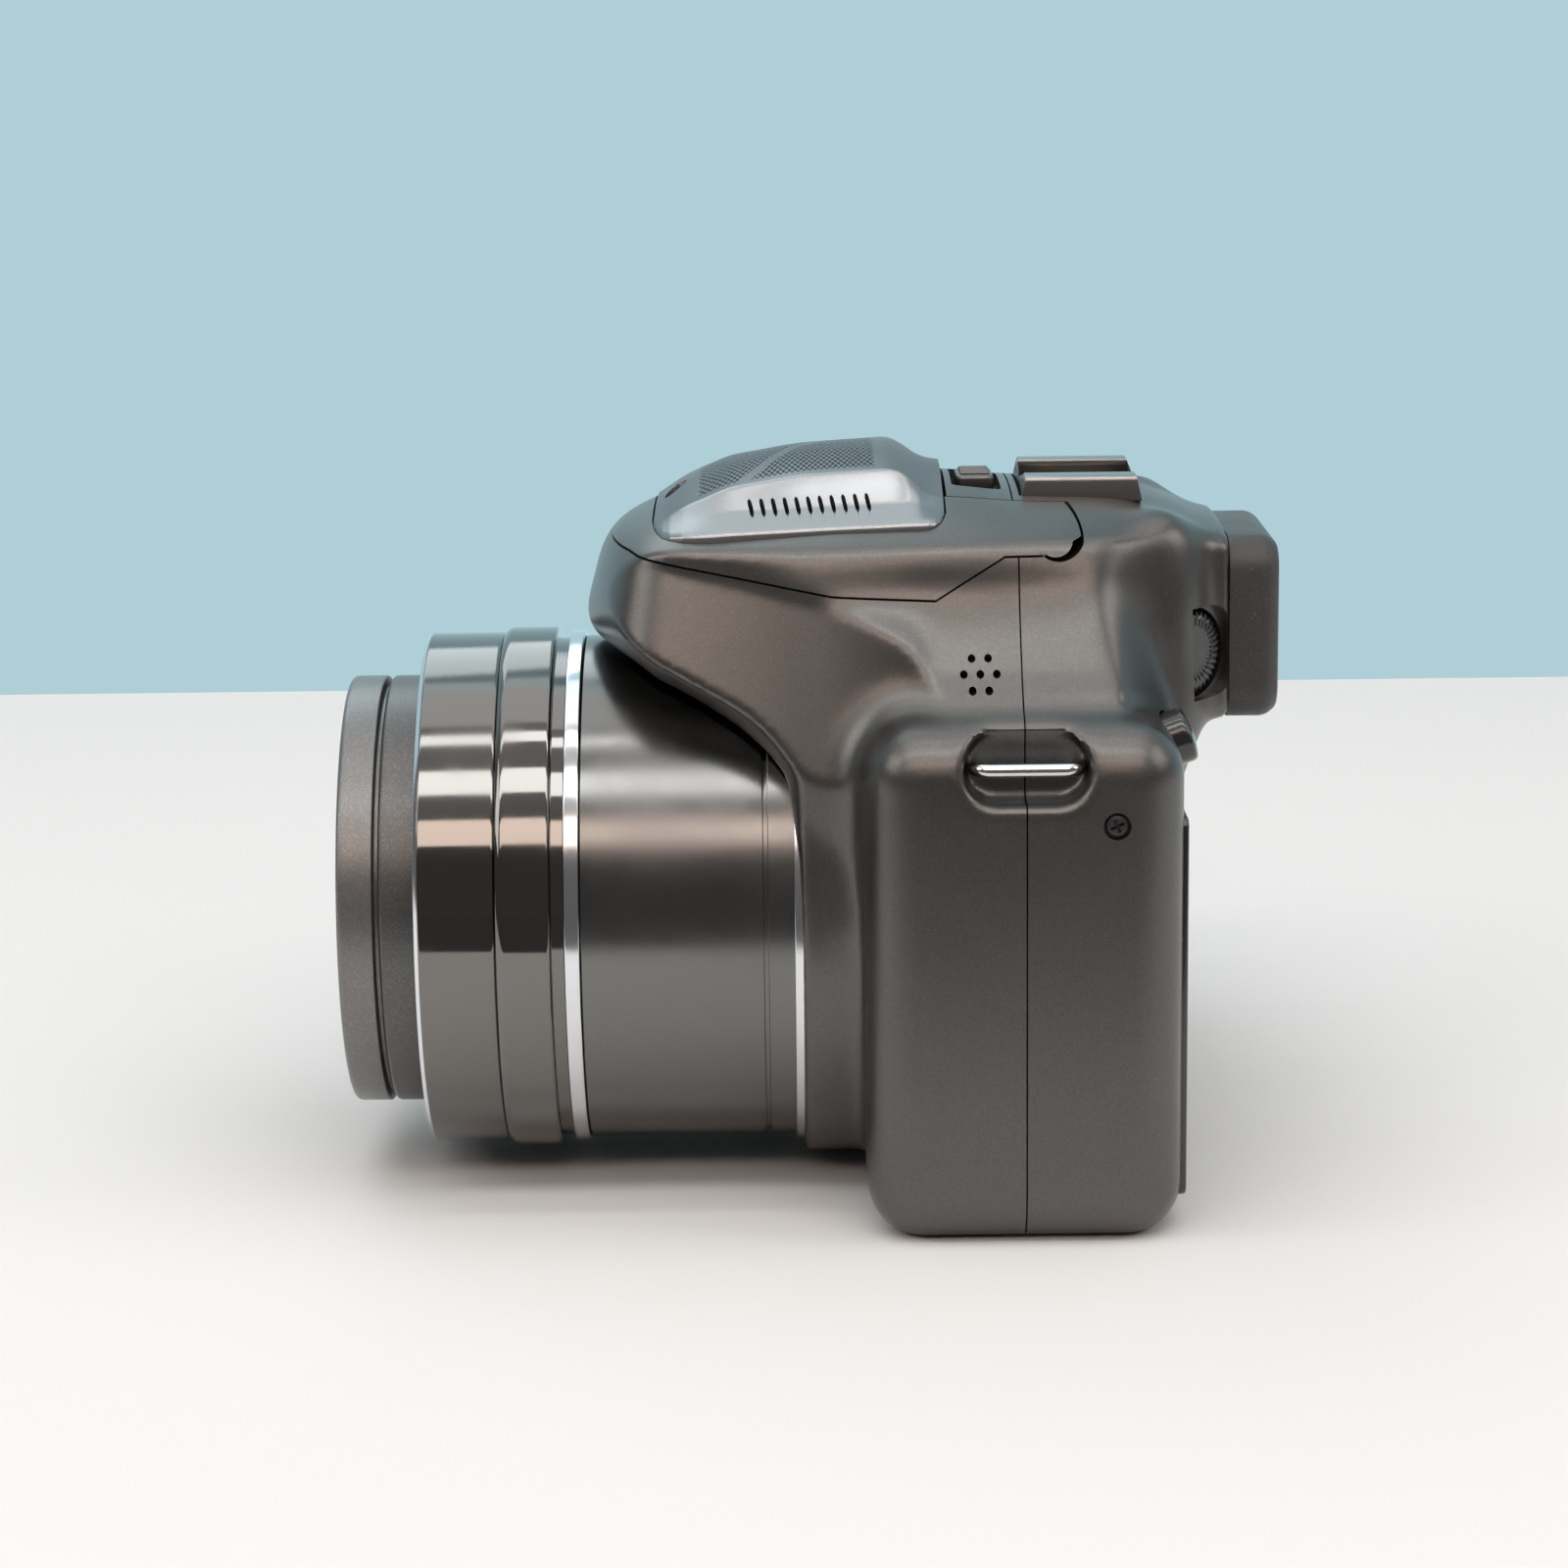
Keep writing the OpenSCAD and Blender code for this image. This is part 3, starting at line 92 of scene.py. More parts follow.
def place_camera():
    """Looks at the object's left side from 12 degrees above, 575 mm away, with the picture turned a hair."""
    back = Vector((math.sin(AZIMUTH) * math.cos(ELEVATION), -math.cos(AZIMUTH) * math.cos(ELEVATION),
                   math.sin(ELEVATION)))
    lens = bpy.data.cameras.new("photo_camera")
    lens.sensor_width = SENSOR
    lens.lens = FOCAL_PIXELS / PHOTO_PIXELS * SENSOR
    lens.clip_start = 0.01
    eye = bpy.data.objects.new("photo_camera", lens)
    turn = (-back).to_track_quat("-Z", "Y").to_matrix() @ Matrix.Rotation(ROLL, 3, "Z")
    eye.matrix_world = Matrix.Translation((TARGET + back * DISTANCE) * MM) @ turn.to_4x4()
    scene.collection.objects.link(eye)
    scene.camera = eye


place_camera()


# Shapes as arrays
def around(count):
    """Even angles once round."""
    return np.linspace(0, 2 * np.pi, count, endpoint=False)


def at_height(outline, z):
    """A flat outline as points at height z."""
    return np.column_stack([outline, np.full(len(outline), z)])


def soften(points, cut, steps=6, closed=True):
    """Rounds the corners of an outline: each corner becomes a parabola that starts and ends the distance
    'cut' (one number or one for each corner) before and behind it, but less than halfway along a side."""
    p = np.asarray(points, float)
    before, after = np.roll(p, 1, 0) - p, np.roll(p, -1, 0) - p
    len_a = np.linalg.norm(before, axis=1) + 1e-9
    len_b = np.linalg.norm(after, axis=1) + 1e-9
    d = np.minimum(np.broadcast_to(np.asarray(cut, float), len_a.shape), 0.48 * np.minimum(len_a, len_b))
    if not closed:
        d[[0, -1]] = 0
    start = p + before * (d / len_a)[:, None]
    end = p + after * (d / len_b)[:, None]
    t = np.linspace(0, 1, steps)[None, :, None]
    curve = (1 - t) ** 2 * start[:, None] + 2 * t * (1 - t) * p[:, None] + t ** 2 * end[:, None]
    flat = curve.reshape(-1, p.shape[1])
    step = np.linalg.norm(np.diff(flat, axis=0, append=flat[:1] + (0 if closed else 1)), axis=1)
    return flat[step > 1e-6]


def outward(points, quads, tris):
    """Turns every face round if the enclosed volume, the sum of the faces' corner products, is negative."""
    fans = np.vstack([quads[:, [0, 1, 2]], quads[:, [0, 2, 3]], tris])
    a, b, c = points[fans[:, 0]], points[fans[:, 1]], points[fans[:, 2]]
    if np.einsum("ij,ij->i", a, np.cross(b, c)).sum() < 0:
        quads, tris = quads[:, ::-1], tris[:, ::-1]
    return points, quads, tris


def skin(rows, closed=False):
    """Joins a grid of points, rows by columns, with four-sided faces. The columns close on themselves. The
    rows close too, or else each end gets a fan of triangles round its middle."""
    rows = np.asarray(rows, float)
    u, v = rows.shape[:2]
    index = np.arange(u * v).reshape(u, v)
    if closed:
        index = np.vstack([index, index[:1]])
    index = np.hstack([index, index[:, :1]])
    quads = np.stack([index[:-1, :-1], index[1:, :-1], index[1:, 1:], index[:-1, 1:]], -1).reshape(-1, 4)
    points = rows.reshape(-1, 3)
    tris = np.zeros((0, 3), int)
    if not closed:
        points = np.vstack([points, rows[0].mean(0), rows[-1].mean(0)])
        first, last = index[0], index[-1]
        tris = np.vstack([np.stack([np.full(v, u * v), first[:-1], first[1:]], -1),
                          np.stack([np.full(v, u * v + 1), last[1:], last[:-1]], -1)])
    return outward(points, quads, tris)


def together(*shapes):
    """Several closed shapes as one set of arrays."""
    starts = np.cumsum([0] + [len(p) for p, q, t in shapes])
    quads = [q + start for (p, q, t), start in zip(shapes, starts)]
    tris = [t + start for (p, q, t), start in zip(shapes, starts)]
    return np.vstack([p for p, q, t in shapes]), np.vstack(quads), np.vstack(tris)


def moved(shape, x, y, z):
    p, q, t = shape
    return p + np.array([x, y, z], float), q, t


def placed(shape, turn, move=(0, 0, 0)):
    """The shape turned by a 3x3 matrix, then moved."""
    p, q, t = shape
    return moved((p @ np.asarray(turn, float).T, q, t), *move)


def turning(axis, degrees):
    """Matrix that turns about axis 0, 1 or 2."""
    a = math.radians(degrees)
    i, j = (axis + 1) % 3, (axis + 2) % 3
    matrix = np.eye(3)
    matrix[i, i] = matrix[j, j] = math.cos(a)
    matrix[i, j], matrix[j, i] = -math.sin(a), math.sin(a)
    return matrix


turn_x, turn_y, turn_z = (partial(turning, axis) for axis in range(3))


def lathe(profile, sides=160, closed=False):
    """A profile of (radius, height) points carried round the Z axis; a closed profile makes a ring."""
    a = around(sides)
    r, h = np.asarray(profile, float).T[:, :, None]
    return skin(np.stack([r * np.cos(a), r * np.sin(a), h + 0 * a], -1), closed)


def toothed(profile, teeth, depth, sides):
    """A profile carried round the Z axis whose radius dips by 'depth' at each of the teeth's valleys, along a
    cosine that a power makes fuller; the third number of a profile point is its share of the dip."""
    fuller = 0.7
    a = around(sides)
    r, h, share = np.asarray(profile, float).T[:, :, None]
    r = r - depth * share * (0.5 - 0.5 * np.cos(teeth * a)) ** fuller
    return skin(np.stack([r * np.cos(a), r * np.sin(a), h + 0 * a], -1))


def cylinder(r, low, high, sides=48):
    return lathe([[r, low], [r, high]], sides)


def turned(corners, cut, steps, sides):
    """A solid lathe shape from the corners of its profile, each rounded by its cut."""
    return lathe(soften(corners, cut, steps, closed=False), sides)


def round_rect(half_w, half_h, r, steps=7):
    """Outline of a rectangle with round corners, counter-clockwise round the origin."""
    r = max(min(r, half_w - 1e-3, half_h - 1e-3), 1e-3)
    a = np.linspace(0, np.pi / 2, steps)
    arc = np.stack([np.cos(a), np.sin(a)], -1) * r
    sides = []
    for sx, sy, q in ((1, 1, 0), (-1, 1, 90), (-1, -1, 180), (1, -1, 270)):
        c, s = math.cos(math.radians(q)), math.sin(math.radians(q))
        sides.append(arc @ np.array([[c, s], [-s, c]]) + [sx * (half_w - r), sy * (half_h - r)])
    return np.vstack(sides)


def eased(low, high, foot, edge, hold, steps):
    """Insets and heights of the rows up a plate: a quarter circle of radius 'foot' below and of radius 'edge'
    above, and at each end one more row, 'hold' further in, which keeps the face flat in shading."""
    q = np.linspace(0, np.pi / 2, steps)
    inset = np.concatenate([[foot + hold], foot * (1 - np.sin(q)), edge * (1 - np.cos(q)), [edge + hold]])
    level = np.concatenate([[low], low + foot * (1 - np.cos(q)), high - edge * (1 - np.sin(q)), [high]])
    return inset, level


def slab(half_w, half_h, r, low, high, edge=0.4, crown=0.0, foot=None):
    """A plate with round corners and eased edges from height low to high; 'crown' lifts the middle of its
    top along a parabola."""
    small = min(half_w, half_h)
    inset, level = eased(low, high, edge if foot is None else foot, edge, 0.08 * small, 6)
    if crown > 0:
        deep = np.linspace(edge, 0.97 * small, 9)[1:]
        rise = crown * (1 - (1 - deep / deep[-1]) ** 2)
        inset, level = np.concatenate([inset[:-1], deep]), np.concatenate([level[:-1], high + rise])
    return skin([at_height(round_rect(half_w - d, half_h - d, max(r - d, 0.02)), z)
                 for d, z in zip(inset, level)])


def prism(outline, low, high, edge=0.0):
    """An outline in the XY plane carried from height low to high. With an edge, both ends are eased towards
    the outline's inside."""
    outline = np.asarray(outline, float)
    if edge <= 0:
        return skin([at_height(outline, z) for z in (low, high)])
    ahead = np.roll(outline, -1, 0) - np.roll(outline, 1, 0)
    normal = np.stack([ahead[:, 1], -ahead[:, 0]], -1)
    normal /= np.linalg.norm(normal, axis=1)[:, None] + 1e-9
    (x, y), (next_x, next_y) = outline.T, np.roll(outline, -1, 0).T
    normal *= np.sign(np.sum(x * next_y - y * next_x))
    rows = zip(*eased(low, high, edge, edge, 0.8 * edge, 4))
    return skin([at_height(outline - d * normal, z) for d, z in rows])


def box(low, high):
    """A plain box, used for cutting."""
    low, high = np.asarray(low, float), np.asarray(high, float)
    p, q, t = prism([[0, 0], [1, 0], [1, 1], [0, 1]], 0.0, 1.0)
    return low + p * (high - low), q, t


def tube(path, r, sides):
    """A round wire along a level path: at each point a circle square to the path's direction."""
    ahead = np.gradient(path, axis=0)
    ahead /= np.linalg.norm(ahead, axis=1)[:, None]
    side = np.cross(ahead, [0.0, 0.0, 1.0])
    side /= np.linalg.norm(side, axis=1)[:, None]
    over = np.cross(side, ahead)
    a = around(sides)[None, :, None]
    return skin(path[:, None] + r * (np.cos(a) * side[:, None] + np.sin(a) * over[:, None]))


def carried(profile, half_w, half_h, corner, steps=10):
    """A closed profile of (inset, height) points carried round a rectangle with round corners."""
    return skin([at_height(round_rect(half_w - d, half_h - d, max(corner - d, 0.05), steps), z)
                 for d, z in profile], closed=True)


def mirrored(shape):
    """The shape on the other side of the mid plane, its faces turned round."""
    p, q, t = shape
    return outward(p * [-1, 1, 1], q, t)


# Places on the camera, for shapes that stand along +Z
def on_lens(shape):
    """Pointing forward on the lens axis."""
    return placed(shape, turn_x(90), (0, 0, LENS_Z))


def on_back(shape, x, z):
    return placed(shape, turn_x(-90), (x, BODY_REAR, z))


def on_slope(shape):
    """On the grip's slanting front, round the shutter button."""
    return placed(shape, turn_x(SLOPE_DEGREES), SHUTTER)


def on_rear_slope(shape):
    """On the rounded edge above the display."""
    lifted = moved(shape, 0, 0, EDGE_R)
    middle = (VIEW_BUTTON_X, BODY_REAR - EDGE_R, SHOULDER - EDGE_R)
    return placed(lifted, turn_x(VIEW_BUTTON_DEGREES - 90), middle)


def on_flank(shape):
    """On the viewfinder tower's slanting side."""
    return placed(shape, turn_z(FLANK_DEGREES) @ turn_y(90), FLANK_DIAL)


def along_x(shape, x, y, z):
    return placed(shape, turn_y(90), (x, y, z))


def on_screws(shape):
    """One copy of the shape at each cover screw, pointing out of the sides and the base."""
    sides = [placed(shape, turn_y(90 if c[0] > 0 else -90), c) for c in SIDE_SCREWS]
    return together(*sides, *[placed(shape, turn_x(180), c) for c in BASE_SCREWS])


# From arrays to pieces
def make_object(name, shape, scale=MM):
    """Puts the arrays into a mesh, in an object of the scene."""
    points, quads, tris = shape
    mesh = bpy.data.meshes.new(name)
    mesh.vertices.add(len(points))
    mesh.vertices.foreach_set("co", np.ascontiguousarray(points * scale, np.float32).ravel())
    corner = np.concatenate([quads.ravel(), tris.ravel()]).astype(np.int32)
    start = np.concatenate([np.arange(len(quads)) * 4, len(quads) * 4 + np.arange(len(tris)) * 3])
    mesh.loops.add(len(corner))
    mesh.loops.foreach_set("vertex_index", corner)
    mesh.polygons.add(len(start))
    mesh.polygons.foreach_set("loop_start", start.astype(np.int32))
    mesh.update(calc_edges=True)
    mesh.validate()
    thing = bpy.data.objects.new(name, mesh)
    scene.collection.objects.link(thing)
    return thing


def drop(thing):
    """Removes an object and its mesh."""
    mesh = thing.data
    bpy.data.objects.remove(thing)
    bpy.data.meshes.remove(mesh)


def carve(thing, cuts, keep=None, solver="MANIFOLD"):
    """Keeps the part of an object's mesh that lies inside 'keep', where it is given, and cuts shapes out."""
    steps = [("INTERSECT", keep)] if keep else []
    steps += [("DIFFERENCE", shape) for shape in cuts]
    tools = [make_object(f"tool_{k}", shape, 1.0) for k, (way, shape) in enumerate(steps)]
    for k, (way, shape) in enumerate(steps):
        step = thing.modifiers.new(f"cut_{k}", "BOOLEAN")
        step.object = tools[k]
        step.operation = way
        step.solver = solver
    view = bpy.context.evaluated_depsgraph_get()
    done = bpy.data.meshes.new_from_object(thing.evaluated_get(view))
    thing.modifiers.clear()
    old = thing.data
    thing.data = done
    bpy.data.meshes.remove(old)
    for tool in tools:
        drop(tool)


def mesh_points(mesh):
    points = np.empty(len(mesh.vertices) * 3, np.float32)
    mesh.vertices.foreach_get("co", points)
    return points


def piece(name, shape, node, finish=None, cuts=(), keep=None, sharp=32, solver="MANIFOLD", stands_in=True):
    """A finished piece from arrays: carved where it has cuts, in metres, shaded smooth with sharp corners. It
    rides on the CAD node's body, wears its slot's finish unless another is named, and stands in for the node."""
    thing = make_object(name, shape, 1.0 if cuts else MM)
    if cuts:
        carve(thing, cuts, keep, solver)
        thing.data.vertices.foreach_set("co", mesh_points(thing.data) * MM)
    mesh = thing.data
    mesh.polygons.foreach_set("use_smooth", np.ones(len(mesh.polygons), bool))
    mesh.set_sharp_from_angle(angle=math.radians(sharp))
    mesh.update()
    mesh.materials.clear()
    mesh.materials.append(FINISH[finish or SLOT_OF[node]])
    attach(thing, BODY_OF[node])
    if stands_in:
        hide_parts(node)


# The covers' outer form as a distance field
VOXEL = 0.6
GRID_LOW = np.array([-88.8, -61.8, -4.8])
GRID_HIGH = np.array([52.8, 33.0, 100.8])
COUNT = np.rint((GRID_HIGH - GRID_LOW) / VOXEL).astype(int) + 1
XS, YS, ZS = [(low + VOXEL * np.arange(n)).astype(np.float32) for low, n in zip(GRID_LOW, COUNT)]
GRIP_CIRCLES = ((-70, -36, 11.5), (-73.2, -8, 9.5), (-61.5, -16, 7))
SLOPE_START_Y = -14
PROW_Y, PROW_Z, PROW_LEAN, PROW_BOW = -57, 78, math.radians(15), 150
CHEEK_X, CHEEK_Y, CHEEK_Z, CHEEK_HALF, CHEEK_R = 17.6, 18.9, 72, 4, 3.9
CROWN_BLEND, GRIP_BLEND, COLLAR_BLEND, CHEEK_BLEND = 6.0, 1.6, 2.4, 6.0
POCKET_RUN, POCKET_R, POCKET_DEEP = 3.6, 4.3, 5.4


def voxels(step=1):
    """The grid's x, y and z on every voxel or every few, ready to be combined."""
    return XS[::step, None, None], YS[None, ::step, None], ZS[None, None, ::step]


def join(a, b, k):
    """Smooth union of two distances: near a crease, k wide, the smaller one is lowered by a parabola."""
    h = np.clip(0.5 + 0.5 * (b - a) / k, 0, 1)
    return b + (a - b) * h - k * h * (1 - h)


def meet(a, b, k):
    """Smooth intersection, the union's mirror image."""
    return -join(-a, -b, k)


def fading(table, ys, blur=1.5):
    """A table of (y, value, ...) rows read at every y and smoothed along y by a bell of the given width."""
    table = np.asarray(table, float)
    reach = np.arange(-6, 6.01, 0.5)
    bell = np.exp(-0.5 * (reach / blur) ** 2)
    at = ys[:, None] + reach[None]
    values = [np.interp(at, table[:, 0], column) @ (bell / bell.sum()) for column in table.T[1:]]
    return np.stack(values, -1) if len(values) > 1 else values[0]


def crown_sections(ys):
    """Left half of the crown's outline at each y, as rows of x and z points: low edge, foot of the wall and
    crease (both twice, so that they stay crisp), the hollow under the lid's seam, the lid's side, its brow
    and the middle of the top."""
    edge = np.interp(-ys, [29, 29.4, 30.4, 33, 36.8, 42, 47.7, 50, 53, 57],
                     [-20, 14, 33, 39.5, 46.5, 54.5, 62, 68, 75, 82])
    r = BORE_R - 0.5
    low_x = np.where(ys > 13, np.interp(ys, [13, 16, 20, 24, 28], [36, 29, 19, 14.6, 13.6]),
                     r * np.cos(np.radians(edge)))
    low_z = np.where(ys > 13, np.interp(ys, [13, 16, 20, 24], [45.2, 52.9, 59.4, 61.9]),
                     LENS_Z + r * np.sin(np.radians(edge)))
    foot = fading([
        (-56, 26.1, 77.6), (-52, 27.8, 75.2), (-44, 30.2, 71.2), (-36, 32.3, 67), (-32, 33.9, 63.4),
        (-30, 35, 60), (-26, 36.4, 58.5), (-20, 37, 58.5), (-13, 37.4, 58.5), (12, 37.4, 58.5),
        (16, 30, 57.9), (20, 20.2, 61.9), (24, 16.6, 63.5), (28, 15.6, 63.5)], ys, 1.2)
    crease = fading([
        (-56, 22.8, 86), (-50, 24.2, 85.7), (-44, 25.2, 84.4), (-36, 27, 82.6), (-27, 29.4, 80.4),
        (-20, 32.2, 78.2), (-15.5, 34, 76), (-13.8, 35, 74.2), (-12.6, 36, 71.6), (-10.3, 37, 69.6),
        (12, 36.4, 70.2), (16, 29, 67.9), (20, 20, 65.5), (24, 16.5, 65.5), (28, 15.6, 65.5)], ys, 0.9)
    waist = fading([
        (-56, 22.7, 86.6), (-50, 24.2, 86.2), (-36, 27, 83.6), (-27, 29.4, 82.2), (-20, 29.7, 81.2),
        (-10, 29.5, 80.6), (10, 29, 80.4), (16, 23.6, 78), (20, 19, 75), (24, 16, 74), (28, 15.5, 74)], ys)
    side = fading([
        (-56, 22.4, 87.2), (-50, 24, 87.2), (-44, 25.6, 87), (-36, 26.8, 87.1), (-25, 28, 87.4),
        (-13, 28.4, 87.7), (-4, 28, 87.9), (6, 26.8, 88), (12, 25, 88), (16, 22.4, 87.5), (20, 18.4, 86.8),
        (24, 15.8, 86), (28, 15.3, 85.4)], ys)
    brow = fading([
        (-50, 15, 88.5), (-44, 15, 90.4), (-38, 15, 91.3), (-25, 15, 92.2), (-9, 15, 92.1), (0, 15, 91.5),
        (12, 15, 91.2), (20, 13.7, 89.4), (26, 13, 87.1), (28, 13, 86.8)], ys)
    top = fading([
        (-50, 0, 89.2), (-44, 0, 91.2), (-38, 0, 92.2), (-25, 0, 93.4), (-14, 0, 94), (-9, 0, 94),
        (0, 0, 92.4), (16, 0, 91.8), (26, 0, 87.8), (28, 0, 87.4)], ys)
    low = np.stack([low_x, low_z], -1)
    return np.stack([low, foot, foot, crease, crease, waist, 0.88 * side + 0.12 * waist,
                     0.9 * side + 0.1 * brow, brow, top], 1)


def corner_cut(outline, times):
    """Rounds a closed outline by cutting each corner a quarter of the way along its two sides."""
    for _ in range(times):
        ahead = np.roll(outline, -1, 0)
        outline = np.stack([0.75 * outline + 0.25 * ahead, 0.25 * outline + 0.75 * ahead], 1).reshape(-1, 2)
    return outline


def outline_distance(px, pz, outline):
    """Distance of points from a closed outline, negative inside: the nearest of its sides, with the sign
    from counting the sides that a level line crosses."""
    a, b = outline.astype(np.float32), np.roll(outline, -1, 0).astype(np.float32)
    d = b - a
    ex, ez = px[:, None] - a[None, :, 0], pz[:, None] - a[None, :, 1]
    t = np.clip((ex * d[:, 0] + ez * d[:, 1]) / ((d ** 2).sum(1) + 1e-9), 0, 1)
    near = np.sqrt(((ex - t * d[:, 0]) ** 2 + (ez - t * d[:, 1]) ** 2).min(1))
    spans = (a[None, :, 1] > pz[:, None]) != (b[None, :, 1] > pz[:, None])
    rise = np.where(np.abs(d[:, 1]) < 1e-6, 1e-6, d[:, 1])
    cross = a[:, 0] + (pz[:, None] - a[None, :, 1]) * d[:, 0] / rise
    inside = (spans & (px[:, None] < cross)).sum(1) % 2 == 1
    return np.where(inside, -near, near)


def crown_field():
    """Distance from the crown: section by section along y, the same on both sides of the mid plane, ended in
    front by a leaning, slightly bowed plane and behind by the viewfinder's flat."""
    field = np.full(COUNT, 40, np.float32)
    rows = np.flatnonzero((YS > -60.5) & (YS < 30.5))
    levels = np.flatnonzero(ZS > 22)
    mid = int(round(-GRID_LOW[0] / VOXEL))
    half = np.arange(COUNT[0] - mid)
    fold = np.abs(np.arange(COUNT[0]) - mid)
    known = fold < len(half)
    px, pz = np.meshgrid(half * VOXEL, ZS[levels], indexing="ij")
    sections = crown_sections(np.clip(YS[rows], -58, 28).astype(float))
    for row, section in zip(rows, sections):
        outline = corner_cut(np.vstack([section, section[-2::-1] * [-1, 1]]), 3)
        flat = outline_distance(px.ravel().astype(np.float32), pz.ravel().astype(np.float32), outline)
        field[np.ix_(known, [row], levels)] = flat.reshape(px.shape)[fold[known]][:, None, :]
    x, y, z = voxels()
    front = -(y - PROW_Y) * math.cos(PROW_LEAN) + (z - PROW_Z) * math.sin(PROW_LEAN) + x ** 2 / PROW_BOW
    field = meet(field, front.astype(np.float32), 6.5)
    return meet(field, (y - EYE_REACH).astype(np.float32) + 0 * field, 0.4)


def grip_plan():
    """Outline round the grip's three circles: in each of many directions, the furthest of their points."""
    a = around(64)
    cloud = np.vstack([np.stack([cx + r * np.cos(a), cy + r * np.sin(a)], -1) for cx, cy, r in GRIP_CIRCLES])
    ways = np.linspace(-np.pi, np.pi, 241)[:-1]
    picked = (cloud @ np.stack([np.cos(ways), np.sin(ways)])).argmax(0)
    keep = np.concatenate([[True], picked[1:] != picked[:-1]])
    return cloud[picked[keep]]


def lens_distance(x, z):
    """Distance from the lens axis."""
    return np.sqrt(x ** 2 + (z - LENS_Z) ** 2)


def lug_distance(y, z):
    """Distance from the middle line of a strap pocket, seen from the side."""
    return np.sqrt(np.maximum(np.abs(y - LUG_Y) - POCKET_RUN, 0) ** 2 + (z - LUG_Z) ** 2)


def body_field():
    """Distance from the whole outer form: the rounded block, grip, crown and lens collar melted together,
    with swellings beside the viewfinder and a pocket for each strap lug."""
    x, y, z = voxels()
    low = np.array([-BODY_RIGHT, -BODY_FRONT, -0.4]) + EDGE_R
    high = np.array([BODY_LEFT, BODY_REAR, SHOULDER]) - EDGE_R
    mid, half = (low + high) / 2, (high - low) / 2
    qx, qy, qz = [np.abs(v - m) - h for v, m, h in zip((x, y, z), mid, half)]
    block = np.sqrt(np.maximum(qx, 0) ** 2 + np.maximum(qy, 0) ** 2 + np.maximum(qz, 0) ** 2)
    block = (block + np.minimum(np.maximum(np.maximum(qx, qy), qz), 0) - EDGE_R).astype(np.float32)
    crown = crown_field()
    px, py = np.meshgrid(XS, YS, indexing="ij")
    plan = outline_distance(px.ravel(), py.ravel(), grip_plan()).reshape(px.shape)[:, :, None]
    roof = (z - SHOULDER - (y - SLOPE_START_Y) * math.tan(SLOPE)) * math.cos(SLOPE)
    grip = meet(meet(plan + 0 * z, roof + 0 * x, 4.5), z - SHOULDER + 0.4 + 0 * block, 1.5)
    grip = meet(grip, -z + 0 * block, 5.0).astype(np.float32)
    axis = lens_distance(x, z) - COLLAR_R
    collar = meet(axis + 0 * y, -COLLAR_REACH - y + 0 * axis, 0.9)
    collar = np.maximum(collar, y - 5).astype(np.float32)
    high_part = 0.35 * np.maximum(np.abs(z - CHEEK_Z) - CHEEK_HALF, 0)
    cheek = np.sqrt((np.abs(x) - CHEEK_X) ** 2 + (y - CHEEK_Y) ** 2 + high_part ** 2) - CHEEK_R
    form = join(block, crown, CROWN_BLEND)
    form = join(form, grip, GRIP_BLEND)
    form = join(form, collar, COLLAR_BLEND)
    form = join(form, cheek.astype(np.float32), CHEEK_BLEND)
    form = meet(form, -z + 0 * form, 0.8)
    for axis in range(3):
        form = 0.5 * form + 0.25 * (np.roll(form, -1, axis) + np.roll(form, 1, axis))
    ring = lug_distance(y, z) - POCKET_R
    for side, way in ((BODY_LEFT, 1), (-BODY_RIGHT, -1)):
        floor = way * (side - way * POCKET_DEEP - x)
        form = meet(form, -meet(ring + 0 * x, floor + 0 * ring, 1.6), 1.7)
    return form.astype(np.float32), crown


def field_shape(field, step):
    """The surface on which a field is zero, as arrays."""
    grid = openvdb.FloatGrid(background=6.0)
    grid.copyFromArray(np.ascontiguousarray(field))
    grid.transform = openvdb.createLinearTransform(voxelSize=step * VOXEL)
    points, tris, quads = grid.convertToPolygons(isovalue=0.0)
    points = points.astype(float) + GRID_LOW
    return outward(points, quads[:, ::-1].astype(int), tris[:, ::-1].astype(int))


def lid_zone(gap):
    """All that lies above the flash lid's seam: a side outline in y and z, carried across the whole width.
    Its rear end is round about the hinge, so that the lid turns in the covers' hole, which is the same
    outline with a gap above zero."""
    wide = CLEAR if gap > 0 else 0
    low, high = np.radians(np.linspace(-150, -12, 24)), np.radians(np.linspace(0, 72, 12))
    low_r = 2.3 + wide + (np.linspace(0, 1.05, 24) ** 2 if gap > 0 else 0)
    high_r = 3.4 + wide
    under = np.stack([HINGE_Y + low_r * np.cos(low), HINGE_Z + low_r * np.sin(low)], -1)
    over = np.stack([HINGE_Y + high_r * np.cos(high), HINGE_Z + high_r * np.sin(high)], -1)
    rear = 86.3 - gap
    seam = np.array([[-200, 86.6], [-51, 86.2], [-24.7, 81.6], [-11.5, 81.0], [-2.6, 86.3]]) - [0, gap]
    outline = np.vstack([seam, under[under[:, 1] < rear][:1] * [1, 0] + [0, rear], under, over,
                         over[-1:] * [1, 0] + [0, 200], [[-200, 200]]])
    p, q, t = prism(outline, -100, 100)
    return outward(p[:, [2, 0, 1]], q, t)


# Finishes
def add(tree, kind, values=None, **settings):
    """A node with its settings, and with values or links put into its inputs."""
    node = tree.nodes.new(kind)
    for key, value in settings.items():
        setattr(node, key, value)
    for key, value in (values or {}).items():
        if isinstance(value, bpy.types.NodeSocket):
            tree.links.new(value, node.inputs[key])
        else:
            node.inputs[key].default_value = value
    return node


def calc(tree, way, a, b=0.0, c=0.0):
    return add(tree, "ShaderNodeMath", {0: a, 1: b, 2: c}, operation=way).outputs[0]


def times(tree, a, b):
    return calc(tree, "MULTIPLY", a, b)


def plus(tree, a, b):
    return calc(tree, "ADD", a, b)


